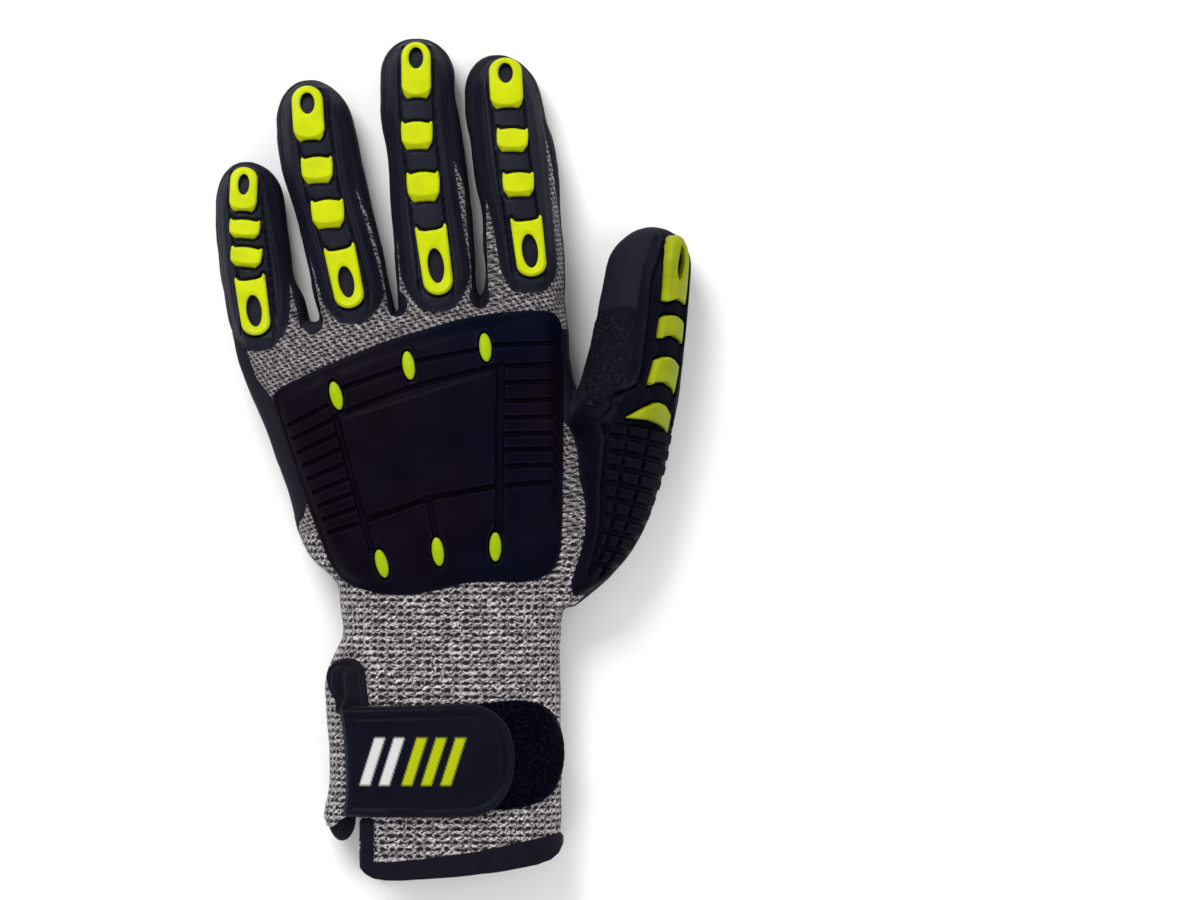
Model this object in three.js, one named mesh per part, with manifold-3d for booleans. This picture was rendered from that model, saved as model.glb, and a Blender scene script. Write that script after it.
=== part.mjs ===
// Left-hand impact glove, size 10, lying palm down. Millimetres, +Z up, +Y to the fingertips, +X to the
// thumb, with the origin under the middle of the glove.
import * as THREE from "three";
import { mergeVertices } from "three/addons/utils/BufferGeometryUtils.js";
import Module from "manifold-3d";

const wasm = await Module();
wasm.setup();

// Cloth walls and the gap that every two pieces keep between them.
const KNIT_WALL = 1.8;
const COATED_WALL = 2.1;
const GAP = 0.3;
const SAG = 0.5;
const SPLIT_HEIGHT = 12;
const SKY = 60;
const FAR = 200;

// Heights above the cloth of the moulded rubber and of the sewn-on pieces.
const GUARD_BODY = 2.9;
const PAD_SEAT = 1.1;
const PAD_TOP = 4.1;
const PLATE = 3.0;
const PLATE_PANEL = 3.9;
const GROOVE_FLOOR = 1.9;
const LENS_TOP = 4.6;
const PATCH = 1.2;
const LOOP = 1.5;
const STRAP = 3.2;
const STRAP_PATCH = 4.9;
const BINDING = 1.4;

// Facets round the outside of the cloth and round the hollow inside it.
const OUTSIDE = { hand: 18, finger: 10, tip: 3 };
const INSIDE = { hand: 12, finger: 8, tip: 1 };
const ROUND_STEPS = 3;

// Hand and cuff, from the knuckles down to the wrist opening. A row slants from y_left to y_right.
const HAND = [
  { y_left: 41, y_right: 48, left: -68.6, right: 35, floor: 3.2, top: 22 },
  { y_left: 33, y_right: 37, left: -66.8, right: 35.8, floor: 2.2, top: 25.6 },
  { y_left: 22, y_right: 24, left: -63.2, right: 37.4, floor: 0.8, top: 27.4 },
  { y_left: 7, y_right: 8, left: -57, right: 43.4, floor: -0.3, top: 28.2 },
  { y_left: -9, y_right: -9, left: -51.2, right: 46, floor: -SAG, top: 28 },
  { y_left: -26, y_right: -26, left: -46.4, right: 43.2, floor: -SAG, top: 27 },
  { y_left: -42, y_right: -42, left: -35.2, right: 34.9, floor: -SAG, top: 25.2 },
  { y_left: -66, y_right: -64, left: -38, right: 33.3, floor: -SAG, top: 23.6 },
  { y_left: -90, y_right: -86, left: -38.9, right: 33.6, floor: -SAG, top: 23.2 },
  { y_left: -112, y_right: -106, left: -40.1, right: 33.7, floor: -SAG, top: 23.4 },
  { y_left: -118.8, y_right: -111.7, left: -37.4, right: 33.6, floor: -SAG, top: 23.4 },
  { y_left: -121, y_right: -113.6, left: -28.2, right: 33.4, floor: -SAG, top: 23.2 },
  { y_left: -130.4, y_right: -119.6, left: -22, right: 30.8, floor: -SAG, top: 22.2 },
];

// Fingers, from inside the hand out to where the round tip starts; tip is the end of the fingertip.
const FINGERS = {
  index: {
    tip: 125.2,
    rows: [
      { y: 34, x: 22, half: 9.6, floor: 3.2, top: 22.6 },
      { y: 53, x: 22.1, half: 12.4, floor: 3.4, top: 21 },
      { y: 94, x: 18.8, half: 12.6, floor: 1.6, top: 17.4 },
      { y: 114, x: 15.4, half: 11.4, floor: -0.1, top: 15.2 },
    ],
  },
  middle: {
    tip: 130.1,
    rows: [
      { y: 34, x: -3.7, half: 11, floor: 3.2, top: 24.6 },
      { y: 53, x: -5.1, half: 12.1, floor: 3.6, top: 21.6 },
      { y: 96, x: -8.8, half: 12, floor: 1.6, top: 17.8 },
      { y: 119, x: -11.4, half: 11, floor: -0.1, top: 15.4 },
    ],
  },
  ring: {
    tip: 117.5,
    rows: [
      { y: 30, x: -26.4, half: 11.2, floor: 3, top: 24.8 },
      { y: 49, x: -30.6, half: 11.8, floor: 3.4, top: 20.8 },
      { y: 87, x: -39.6, half: 12.1, floor: 1.4, top: 17 },
      { y: 106, x: -43.1, half: 11.2, floor: -0.1, top: 15 },
    ],
  },
  pinky: {
    tip: 92.4,
    rows: [
      { y: 26, x: -51.6, half: 10, floor: 2.4, top: 21 },
      { y: 44, x: -57.2, half: 12, floor: 2.8, top: 19 },
      { y: 62, x: -61.5, half: 11.1, floor: 1.8, top: 16.6 },
      { y: 81, x: -63.4, half: 10.4, floor: -0.1, top: 14.4 },
    ],
  },
};

// Thumb, lying rolled beside the hand. broad is across its back, deep is through it.
const THUMB_ROLL = THREE.MathUtils.degToRad(45);
const THUMB = {
  tip: 71.3,
  rows: [
    { y: -39, x: 35, z: 12.8, broad: 10, deep: 9.4 },
    { y: -28, x: 41.6, z: 13.2, broad: 15, deep: 11.4 },
    { y: -8, x: 48.2, z: 13.6, broad: 17.4, deep: 12.2 },
    { y: 12, x: 52.6, z: 13.8, broad: 17, deep: 12.2 },
    { y: 30, x: 56.5, z: 14, broad: 15.3, deep: 11.7 },
    { y: 46, x: 58.8, z: 13.4, broad: 14, deep: 11 },
    { y: 60, x: 60.2, z: 12.6, broad: 12.6, deep: 10.4 },
  ],
};

// Superellipse powers of the cloth tubes, crowned above and flatter below, and how far up a tube is widest.
const WAIST = 0.45;
const FINGER_CROWN = 2.3;
const HAND_CROWN = 2.7;
const BELLY = 3.2;

function superPoint(angle, half, rise, fall, crown) {
  const c = Math.cos(angle);
  const s = Math.sin(angle);
  const power = 2 / (s >= 0 ? crown : BELLY);
  const height = s >= 0 ? rise : fall;
  return {
    across: Math.sign(c) * half * Math.abs(c) ** power,
    up: Math.sign(s) * height * Math.abs(s) ** power,
  };
}

function solid(geometry) {
  const bare = geometry.clone();
  bare.deleteAttribute("normal");
  bare.deleteAttribute("uv");
  const merged = mergeVertices(bare, 1e-4);
  return new wasm.Manifold(new wasm.Mesh({
    numProp: 3,
    vertProperties: merged.attributes.position.array,
    triVerts: new Uint32Array(merged.index.array),
  }));
}

// A closed solid through rings of points, one ring for each section, with a hub at each end.
function loft(rings) {
  const sides = rings[0].length;
  const points = rings.flat();
  const index = [];
  for (let r = 0; r + 1 < rings.length; r += 1) {
    for (let s = 0; s < sides; s += 1) {
      const a = r * sides + s;
      const b = r * sides + ((s + 1) % sides);
      index.push(a, b, a + sides, b, b + sides, a + sides);
    }
  }
  for (const [ring, order] of [[0, -1], [rings.length - 1, 1]]) {
    const centre = new THREE.Vector3();
    rings[ring].forEach((p) => centre.addScaledVector(p, 1 / sides));
    const hub = points.push(centre) - 1;
    for (let s = 0; s < sides; s += 1) {
      const a = ring * sides + s;
      const b = ring * sides + ((s + 1) % sides);
      index.push(...(order > 0 ? [a, b, hub] : [b, a, hub]));
    }
  }
  const geometry = new THREE.BufferGeometry().setFromPoints(points);
  geometry.setIndex(index);
  return solid(geometry);
}

// The hand and cuff, moved out by grow, with the wrist end carried on by mouth.
function handLoft(grow, mouth, facets) {
  const rows = HAND.map((row) => ({ ...row }));
  rows[0].y_left += grow;
  rows[0].y_right += grow;
  const last = rows.at(-1);
  rows.push({ ...last, y_left: last.y_left - mouth, y_right: last.y_right - mouth });
  return loft(rows.map((row) => {
    const half = (row.right - row.left) / 2 + grow;
    const centre = (row.right + row.left) / 2;
    const middle = row.floor + WAIST * (row.top - row.floor);
    return Array.from({ length: facets.hand }, (_, s) => {
      const p = superPoint((2 * Math.PI * s) / facets.hand, half,
        row.top - middle + grow, middle - row.floor + grow, HAND_CROWN);
      const share = THREE.MathUtils.clamp((centre + p.across - row.left) / (row.right - row.left), 0, 1);
      const y = THREE.MathUtils.lerp(row.y_left, row.y_right, share);
      return new THREE.Vector3(centre + p.across, y, middle + p.up);
    });
  }));
}

// Rows that carry on from the last one to a rounded tip, whose flat end takes a part of a step.
const TIP_FLAT = 0.25;

function withTip(rows, tip, steps, shrink) {
  const last = rows.at(-1);
  const before = rows.at(-2);
  const lean = (last.x - before.x) / (last.y - before.y);
  const reach = tip - last.y;
  const added = [];
  for (let k = 1; k <= steps; k += 1) {
    const turn = (k / (steps + TIP_FLAT)) * (Math.PI / 2);
    added.push({
      ...shrink(last, Math.cos(turn)),
      y: last.y + reach * Math.sin(turn),
      x: last.x + lean * reach * Math.sin(turn),
    });
  }
  return rows.concat(added);
}

function fingerLoft({ rows, tip }, grow, facets) {
  const grown = rows.map((row) => ({
    ...row, half: row.half + grow, floor: row.floor - grow, top: row.top + grow,
  }));
  const shrink = (row, share) => {
    const middle = row.floor + WAIST * (row.top - row.floor);
    return {
      half: row.half * share,
      floor: middle + (row.floor - middle) * share,
      top: middle + (row.top - middle) * share,
    };
  };
  return loft(withTip(grown, tip + grow, facets.tip, shrink).map((row) => {
    const middle = row.floor + WAIST * (row.top - row.floor);
    return Array.from({ length: facets.finger }, (_, s) => {
      const p = superPoint((-2 * Math.PI * s) / facets.finger, row.half, row.top - middle,
        middle - row.floor, FINGER_CROWN);
      return new THREE.Vector3(row.x + p.across, row.y, middle + p.up);
    });
  }));
}

function thumbLoft(grow, facets) {
  const grown = THUMB.rows.map((row) => ({
    ...row, broad: row.broad + grow, deep: row.deep + grow,
  }));
  const shrink = (row, share) => ({ z: row.z, broad: row.broad * share, deep: row.deep * share });
  return loft(withTip(grown, THUMB.tip + grow, facets.tip, shrink).map((row) =>
    Array.from({ length: facets.finger }, (_, s) => {
      const p = superPoint((-2 * Math.PI * s) / facets.finger, row.broad, row.deep, row.deep,
        FINGER_CROWN);
      return new THREE.Vector3(p.across, 0, p.up)
        .applyAxisAngle(new THREE.Vector3(0, 1, 0), THUMB_ROLL)
        .add(new THREE.Vector3(row.x, row.y, row.z));
    })));
}

// The whole glove form, its surface moved out by grow (or in, where grow is negative). With a mouth it is
// the form of the hollow, which runs out through the wrist.
const forms = new Map();
function form(grow, mouth = 0) {
  const key = `${grow}/${mouth}`;
  if (!forms.has(key)) {
    const facets = mouth > 0 ? INSIDE : OUTSIDE;
    let made = handLoft(grow, mouth, facets).add(thumbLoft(grow, facets));
    for (const finger of Object.values(FINGERS)) {
      made = made.add(fingerLoft(finger, grow, facets));
    }
    forms.set(key, made);
  }
  return forms.get(key);
}

// A vertical prism over a closed outline, given as [x, y] pairs.
function prism(outline, low = SPLIT_HEIGHT, high = SKY) {
  const shape = new THREE.Shape(outline.map(([x, y]) => new THREE.Vector2(x, y)));
  const geometry = new THREE.ExtrudeGeometry(shape, { depth: high - low, bevelEnabled: false });
  geometry.translate(0, 0, low);
  return solid(geometry);
}

// A prism square to the back of the rolled thumb, which starts lower where the thumb's root does.
const THUMB_ZONES = [
  { from: -90, to: -10, low: 37 },
  { from: -10, to: 24, low: 46 },
  { from: 24, to: 90, low: 51 },
];
const THUMB_SKY = 90;

function thumbPrism(outline, drop = 0) {
  const shape = new THREE.Shape(outline.map(([u, y]) => new THREE.Vector2(u, y)));
  return THUMB_ZONES.map(({ from, to, low }) => {
    const depth = THUMB_SKY - low + drop;
    const geometry = new THREE.ExtrudeGeometry(shape, { depth, bevelEnabled: false });
    geometry.translate(0, 0, low - drop);
    geometry.rotateY(THUMB_ROLL);
    const zone = prism([[-FAR, from], [FAR, from], [FAR, to], [-FAR, to]], -FAR, FAR);
    return solid(geometry).intersect(zone);
  }).reduce((all, part) => all.add(part));
}

// A value of a table of rows at y, carried on in a straight line past both ends.
function rowsAt(rows, y, key) {
  const last = rows.length - 1;
  let k = 0;
  while (k < last - 1 && y > rows[k + 1].y) {
    k += 1;
  }
  const share = (y - rows[k].y) / (rows[k + 1].y - rows[k].y);
  return THREE.MathUtils.lerp(rows[k][key], rows[k + 1][key], share);
}

// Moves the edges of an outline outwards by distance (inwards where it is negative).
function offset(outline, distance) {
  const turning = Math.sign(THREE.ShapeUtils.area(outline.map(([x, y]) => new THREE.Vector2(x, y))));
  return outline.map(([x, y], k) => {
    const before = outline.at(k - 1);
    const after = outline[(k + 1) % outline.length];
    const a = new THREE.Vector2(x - before[0], y - before[1]).normalize();
    const b = new THREE.Vector2(after[0] - x, after[1] - y).normalize();
    const along = a.add(b).normalize();
    const half = Math.max(0.5, Math.abs(along.dot(b)));
    return [x + (turning * distance * along.y) / half, y - (turning * distance * along.x) / half];
  });
}

// A closed outline with its corners rounded to a radius.
function rounded(corners, radius) {
  const shape = new THREE.Shape();
  corners.forEach((corner, k) => {
    const here = new THREE.Vector2(...corner);
    const before = new THREE.Vector2(...corners.at(k - 1));
    const after = new THREE.Vector2(...corners[(k + 1) % corners.length]);
    const reach = Math.min(radius, here.distanceTo(before) / 2, here.distanceTo(after) / 2);
    const start = here.clone().add(before.sub(here).setLength(reach));
    const end = here.clone().add(after.sub(here).setLength(reach));
    if (k === 0) {
      shape.moveTo(start.x, start.y);
    } else {
      shape.lineTo(start.x, start.y);
    }
    shape.quadraticCurveTo(here.x, here.y, end.x, end.y);
  });
  return shape.getPoints(2).map((p) => [p.x, p.y]).filter(([x, y], k, all) => {
    const next = all[(k + 1) % all.length];
    return Math.hypot(x - next[0], y - next[1]) > 1e-3;
  });
}

// An ellipse outline, leaning by tilt degrees to the right.
function ellipse(x, y, halfWidth, halfLength, tilt = 0, steps = 12) {
  const lean = THREE.MathUtils.degToRad(tilt);
  return Array.from({ length: steps }, (_, k) => {
    const turn = (2 * Math.PI * k) / steps;
    const across = halfWidth * Math.cos(turn);
    const along = halfLength * Math.sin(turn);
    return [
      x + across * Math.cos(lean) + along * Math.sin(lean),
      y - across * Math.sin(lean) + along * Math.cos(lean),
    ];
  });
}

// A band along a centre line, with its ends rounded over the given lengths.
const BAND_LEAST = 0.4;

function band(centre, half, low, high, roundLow, roundHigh, steps = 4) {
  const right = [];
  const left = [];
  const stops = [];
  for (let k = 0; k < ROUND_STEPS && roundLow > 0; k += 1) {
    stops.push(low + roundLow * (1 - Math.cos((k / ROUND_STEPS) * (Math.PI / 2))));
  }
  for (let k = 0; k <= steps; k += 1) {
    stops.push(THREE.MathUtils.lerp(low + roundLow, high - roundHigh, k / steps));
  }
  for (let k = ROUND_STEPS - 1; k >= 0 && roundHigh > 0; k -= 1) {
    stops.push(high - roundHigh * (1 - Math.cos((k / ROUND_STEPS) * (Math.PI / 2))));
  }
  for (const y of stops) {
    const fromLow = roundLow > 0 ? Math.max(0, 1 - (y - low) / roundLow) : 0;
    const fromHigh = roundHigh > 0 ? Math.max(0, 1 - (high - y) / roundHigh) : 0;
    const width = half(y) * Math.sqrt(Math.max(0, 1 - Math.max(fromLow, fromHigh) ** 2));
    right.push([centre(y) + Math.max(width, BAND_LEAST), y]);
    left.unshift([centre(y) - Math.max(width, BAND_LEAST), y]);
  }
  return right.concat(left);
}

// The main body of a cut piece, without the slivers that a cut along a fold can leave.
function largest(body) {
  return body.decompose().sort((a, b) => b.volume() - a.volume())[0];
}

// The part of the glove form between two heights above the cloth, inside a region.
function layer(region, low, high) {
  return form(high).intersect(region).subtract(form(low));
}

const glove = new THREE.Group();

function addPiece(name, body, colour, roughness) {
  const { numProp, vertProperties, triVerts } = body.getMesh();
  const geometry = new THREE.BufferGeometry();
  const xyz = new Float32Array((vertProperties.length / numProp) * 3);
  for (let k = 0; k < xyz.length / 3; k += 1) {
    xyz.set(vertProperties.subarray(k * numProp, k * numProp + 3), k * 3);
  }
  geometry.setAttribute("position", new THREE.BufferAttribute(xyz, 3));
  geometry.setIndex(new THREE.BufferAttribute(triVerts, 1));
  geometry.computeVertexNormals();
  const material = new THREE.MeshStandardMaterial({ color: colour, roughness, metalness: 0 });
  const mesh = new THREE.Mesh(geometry, material);
  mesh.name = name;
  glove.add(mesh);
}

const KNIT_GREY = 0x756e72;
const COATING_BLACK = 0x1a1824;
const RUBBER_BLACK = 0x16141c;
const GUARD_BLACK = 0x1c1e27;
const SAFETY_GREEN = 0xd0dc03;
const LENS_GREEN = 0xa8c10d;
const LOOP_BLACK = 0x0b0b16;
const BINDING_BLACK = 0x120d18;

// Where the knit shows: the back of the hand, a tongue up the back of each finger, and the whole cuff.
const BACK_OUTLINE = [
  [-33.5, -80], [-33.2, -46], [-37.6, -38], [-43.4, -26], [-48, -8], [-54, 8], [-60.4, 24],
  [-63.4, 33.5], [-59, 38.5], [-45, 40], [-40, 41], [-21, 43], [-14, 44.5], [4, 46.4], [12, 47.6],
  [32.6, 46], [34.2, 26], [37.6, 14], [50, 10], [53, -4], [50, -22], [42, -34], [33, -46], [31, -80],
];
const DIP_LINE = [
  [-60, -62], [-34, -69], [-22, -75.5], [-2, -79], [18, -75.5], [30, -69], [60, -62],
  [60, -150], [-60, -150],
];
const TONGUE_END = 17;
const TONGUE_ROUND = 6;
const TONGUE_EDGE = 1.3;
const TONGUE_TIP_HALF = 8.2;
const TONGUE_WIDE = 30;

function tongue({ rows, tip }, grow) {
  const start = rows[0].y;
  const end = tip - TONGUE_END;
  const half = (y) => {
    const low = rowsAt(rows, y, "half") - TONGUE_EDGE;
    const share = THREE.MathUtils.smoothstep(y, start + TONGUE_WIDE, end);
    return THREE.MathUtils.lerp(low, TONGUE_TIP_HALF, share) + grow;
  };
  return band((y) => rowsAt(rows, y, "x"), half, start, end + grow, 0, TONGUE_ROUND, 3);
}

// The rolled thumb's centre line, across its back and up through it.
const thumbAcross = (y) =>
  rowsAt(THUMB.rows, y, "x") * Math.cos(THUMB_ROLL) - rowsAt(THUMB.rows, y, "z") * Math.sin(THUMB_ROLL);
const THUMB_TONGUE = { low: -4, high: 54, half: 8.2 };

function knitRegion(grow) {
  let region = prism(offset(BACK_OUTLINE, grow), SPLIT_HEIGHT - grow);
  for (const finger of Object.values(FINGERS)) {
    region = region.add(prism(tongue(finger, grow), SPLIT_HEIGHT - grow));
  }
  const { low, high, half } = THUMB_TONGUE;
  const strip = band(thumbAcross, () => half + grow, low, high + grow, 0, TONGUE_ROUND, 3);
  region = region.add(thumbPrism(strip, grow));
  return region.add(prism(offset(DIP_LINE, grow), -SKY));
}

// The cuff is slit on the little-finger side of its back, and bound along the slit and round its hem.
const SLIT = [[-32.8, -66], [-28.6, -66], [-28.6, -140], [-32.8, -140]];
const HEM_BAND = [
  [-60, -125.2], [-24, -125.2], [-9.5, -123.8], [9.8, -121.2], [26, -117.6], [60, -111],
  [60, -150], [-60, -150],
];
const SLIT_EDGE = [[-28.3, -112.2], [-24.2, -112.2], [-24.2, -140], [-28.3, -140]];

const EVERYWHERE = [[-FAR, -FAR], [FAR, -FAR], [FAR, FAR], [-FAR, FAR]];
const table = prism(EVERYWHERE, 0, SKY);
const onTable = (body) => body.intersect(table);
const edgeRegion = (grow) =>
  prism(offset(HEM_BAND, grow), -SKY).add(prism(offset(SLIT_EDGE, grow)));

const hollow = (wall) => form(-wall, SKY).intersect(prism(EVERYWHERE, wall - SAG, SKY));

// The knit and its coating run on from the hand into the fingers; each finger's tube is a piece of its own,
// and so is the cuff's, from just below the back plate down.
const FINGER_LINE = [[-90, 39.9], [60, 50]];
const CUFF_LINE = [[-90, -46], [60, -46]];
const FINGER_ORDER = ["pinky", "ring", "middle", "index"];

function above([start, end], gap) {
  return prism([[start[0], start[1] + gap], [end[0], end[1] + gap], [end[0], FAR], [start[0], FAR]], -SKY);
}

// The tubes past the finger line, from the little finger to the forefinger.
function fingerTubes(body) {
  const middle = ({ min, max }) => (min[0] + max[0]) / 2;
  return body.intersect(above(FINGER_LINE, GAP / 2)).decompose()
    .sort((a, b) => b.volume() - a.volume())
    .slice(0, FINGER_ORDER.length)
    .sort((a, b) => middle(a.boundingBox()) - middle(b.boundingBox()));
}

const THUMB_FROM = 39;
const thumbSide = prism([[THUMB_FROM, -FAR], [FAR, -FAR], [FAR, FAR], [THUMB_FROM, FAR]], -SKY);
const knit = onTable(form(0).subtract(hollow(KNIT_WALL)).intersect(knitRegion(-GAP / 2)))
  .subtract(prism(SLIT))
  .subtract(edgeRegion(GAP));
const handKnit = knit.subtract(above(FINGER_LINE, -GAP / 2).subtract(thumbSide));
addPiece("knit_back", largest(handKnit.intersect(above(CUFF_LINE, GAP / 2))), KNIT_GREY, 0.95);
addPiece("cuff_knit", largest(knit.subtract(above(CUFF_LINE, -GAP / 2))), KNIT_GREY, 0.95);
fingerTubes(knit.subtract(thumbSide)).forEach((tube, k) => {
  addPiece(`${FINGER_ORDER[k]}_knit`, tube, KNIT_GREY, 0.95);
});

const coated = onTable(form(0).subtract(hollow(COATED_WALL)).subtract(knitRegion(GAP / 2)));
const handCoating = coated.subtract(above(FINGER_LINE, -GAP / 2).subtract(thumbSide));
addPiece("coated_palm", largest(handCoating), COATING_BLACK, 0.85);
fingerTubes(coated.subtract(thumbSide)).forEach((tube, k) => {
  addPiece(`${FINGER_ORDER[k]}_coating`, tube, COATING_BLACK, 0.85);
});

// Hem binding: a folded tape over the cut edge of the cuff, running up the slit's back edge.
const hem = onTable(form(BINDING / 2).intersect(edgeRegion(0))
  .subtract(hollow(KNIT_WALL + BINDING / 2)));
addPiece("cuff_hem", hem.subtract(prism(SLIT)), BINDING_BLACK, 0.9);

// Gusset of the slit: a tape that fills it, and soft folds that stand out above and below the strap.
const GUSSET_UPPER = rounded([[-37.4, -76], [-38, -64], [-33, -61.2], [-27.4, -63.5], [-26.8, -76]], 5);
const GUSSET_LOWER = rounded([[-39, -111.4], [-38.6, -117.6], [-34.6, -118.6], [-30.6, -111.4]], 3);
const GUSSET_TAPE = [[-32.4, -66.4], [-29, -66.4], [-29, -112.6], [-32.4, -112.6]];
const GUSSET_RISE = 2.4;
const TAPE_RISE = 0.9;
const gusset = layer(prism(GUSSET_UPPER), GAP, GUSSET_RISE)
  .add(layer(prism(GUSSET_LOWER), GAP, GUSSET_RISE))
  .add(layer(prism(GUSSET_TAPE), -KNIT_WALL, TAPE_RISE));
addPiece("slit_gusset", gusset, BINDING_BLACK, 0.9);

// Finger guards: a thin flange, a raised body over it, a sunk channel, and four pads let into seats.
const GUARDS = {
  index: {
    low: 51.1, high: 125.6, half: 9.6, shift: 1.4,
    pads: [
      { top: 124, bottom: 108.2, half: 5.2, round: "top" },
      { top: 102, bottom: 94.5, half: 4.9, round: "none" },
      { top: 88.7, bottom: 80.9, half: 4.9, round: "none" },
      { top: 74.7, bottom: 56.1, half: 5.3, round: "bottom" },
    ],
  },
  middle: {
    low: 45.6, high: 130.4, half: 10, shift: 0.4,
    pads: [
      { top: 128.6, bottom: 111, half: 4.9, round: "top" },
      { top: 104.5, bottom: 95.2, half: 4.9, round: "none" },
      { top: 88.7, bottom: 79, half: 4.9, round: "none" },
      { top: 72.2, bottom: 50.5, half: 5.3, round: "bottom" },
    ],
  },
  ring: {
    low: 41.9, high: 118, half: 10, shift: -0.2,
    pads: [
      { top: 115.3, bottom: 98, half: 4.9, round: "top" },
      { top: 93.3, bottom: 84.9, half: 4.8, round: "none" },
      { top: 80, bottom: 71, half: 4.8, round: "none" },
      { top: 65.7, bottom: 46.5, half: 5.3, round: "bottom" },
    ],
  },
  pinky: {
    low: 33.5, high: 92.9, half: 9.4, shift: -1.1,
    pads: [
      { top: 90.2, bottom: 76.3, half: 4.5, round: "top" },
      { top: 73.8, bottom: 67.9, half: 4.7, round: "none" },
      { top: 65.4, bottom: 58.9, half: 4.7, round: "none" },
      { top: 56.4, bottom: 38.1, half: 5, round: "bottom" },
    ],
  },
};
const PAD_NAMES = ["tip_pad", "upper_bar", "lower_bar", "base_pad"];

// A tip pad narrows over its last stretch, and a bar over its lower half.
const TIP_TAPER = { by: 1.4, over: 2 };
const BAR_TAPER = { by: 1.8, share: 0.5 };
const TIP_ROUND = 0.9;

// The oval holes: where their centres lie from the round end of the pad.
const TIP_HOLE = { from: 5.4, halfWidth: 2.3, halfLength: 3.3 };
const BASE_HOLE = { from: 7.4, halfWidth: 2.5, halfLength: 5.4 };

function padOutline(centre, pad, grow) {
  const low = pad.bottom - grow;
  const high = pad.top + grow;
  const half = pad.half + grow;
  const narrowed = (by, over) => (y) => half - by * Math.max(0, 1 - (y - low) / over);
  if (pad.round === "top") {
    return band(centre, narrowed(TIP_TAPER.by, TIP_TAPER.over), low, high, 0, half * TIP_ROUND, 1);
  }
  if (pad.round === "bottom") {
    return band(centre, () => half, low, high, half, 0, 1);
  }
  return band(centre, narrowed(BAR_TAPER.by, BAR_TAPER.share * (pad.top - pad.bottom)), low, high, 0, 0, 2);
}

function padHole(centre, pad, lean) {
  const hole = pad.round === "top" ? TIP_HOLE : BASE_HOLE;
  const y = pad.round === "top" ? pad.top - hole.from : pad.bottom + hole.from;
  return ellipse(centre(y), y, hole.halfWidth, hole.halfLength, lean, 8);
}

for (const [name, guard] of Object.entries(GUARDS)) {
  const { rows } = FINGERS[name];
  const centre = (y) => rowsAt(rows, y, "x") + guard.shift;
  const run = guard.high - guard.low;
  const lean = THREE.MathUtils.radToDeg(Math.atan((centre(guard.high) - centre(guard.low)) / run));
  const outline = band(centre, () => guard.half, guard.low, guard.high, guard.half, guard.half);
  const seats = guard.pads
    .map((pad) => prism(padOutline(centre, pad, GAP)))
    .reduce((all, seat) => all.add(seat));
  const body = layer(prism(outline), GAP, GUARD_BODY)
    .subtract(seats.subtract(form(PAD_SEAT)));
  addPiece(`${name}_guard`, body, GUARD_BLACK, 0.6);
  guard.pads.forEach((pad, k) => {
    let made = layer(prism(padOutline(centre, pad, 0)), PAD_SEAT + GAP, PAD_TOP);
    if (pad.round !== "none") {
      made = made.subtract(prism(padHole(centre, pad, lean)));
    }
    addPiece(`${name}_${PAD_NAMES[k]}`, made, SAFETY_GREEN, 0.45);
  });
}

// Back plate: one moulding with a raised panel, ribs on both sides and six inserts.
const PLATE_OUTLINE = [
  [-54.4, 20.4], [-30.5, 31.9], [-9.1, 39.4], [11.3, 44.4], [27.4, 45.2], [33.4, 41.6], [34.2, 11.8],
  [33.6, -25.4], [31, -34.9], [21.2, -38.1], [4.5, -38.4], [-15.7, -42.2], [-29.3, -40],
  [-36, -35.6], [-39.4, -28.5], [-48, -5],
];
const PANEL_OUTLINE = [[-35.4, 12.3], [13.8, 27.6], [13.8, -8], [-28, -18.2]];
const LENSES = [
  { x: -35.5, y: 19.2, tilt: -10 },
  { x: -13.2, y: 28.5, tilt: -6 },
  { x: 10.4, y: 34.1, tilt: -3 },
  { x: -21.5, y: -32.5, tilt: -14 },
  { x: -4.2, y: -28.8, tilt: -6 },
  { x: 13.5, y: -27.3, tilt: 0 },
];
const LENS_HALF_WIDTH = 1.9;
const LENS_HALF_LENGTH = 4.4;
const GROOVE_HALF = 0.75;

function groove(x1, y1, x2, y2) {
  const away = new THREE.Vector2(y1 - y2, x2 - x1).setLength(GROOVE_HALF);
  return prism([
    [x1 + away.x, y1 + away.y], [x1 - away.x, y1 - away.y],
    [x2 - away.x, y2 - away.y], [x2 + away.x, y2 + away.y],
  ]);
}

const LEFT_RIBS = { count: 5, first: [-50.2, 9.4, -38, 15.6], last: [-38.8, -25.4, -28.8, -21.6] };
const RIGHT_RIBS = { count: 5, first: [15.6, 28.4, 31, 29], last: [15.6, -7.4, 31, -7.2] };

function ribGrooves({ count, first, last }) {
  return Array.from({ length: count }, (_, k) =>
    groove(...first.map((value, n) => THREE.MathUtils.lerp(value, last[n], k / (count - 1)))));
}

// Grooves round the panel and from insert to insert, from [x1, y1] to [x2, y2].
const PLATE_LINES = [
  [-36.4, 12.6, -26.2, -27.2],
  [14.4, 29.2, 14.2, -22.6],
  [-35, 12.8, -14, 22.6],
  [-14, 22.6, 14.4, 28.4],
  [-26.6, -18.8, 14.4, -8.6],
  [-33, 20.6, -15.4, 28.2],
  [-11, 29.4, 8.2, 33.8],
  [-7, -12.6, -4.8, -24],
];
const plateGrooves = [
  ...ribGrooves(LEFT_RIBS),
  ...ribGrooves(RIGHT_RIBS),
  ...PLATE_LINES.map((line) => groove(...line)),
].reduce((all, cut) => all.add(cut));
const lensOutline = (lens, grow) =>
  ellipse(lens.x, lens.y, LENS_HALF_WIDTH + grow, LENS_HALF_LENGTH + grow, lens.tilt, 8);

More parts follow.
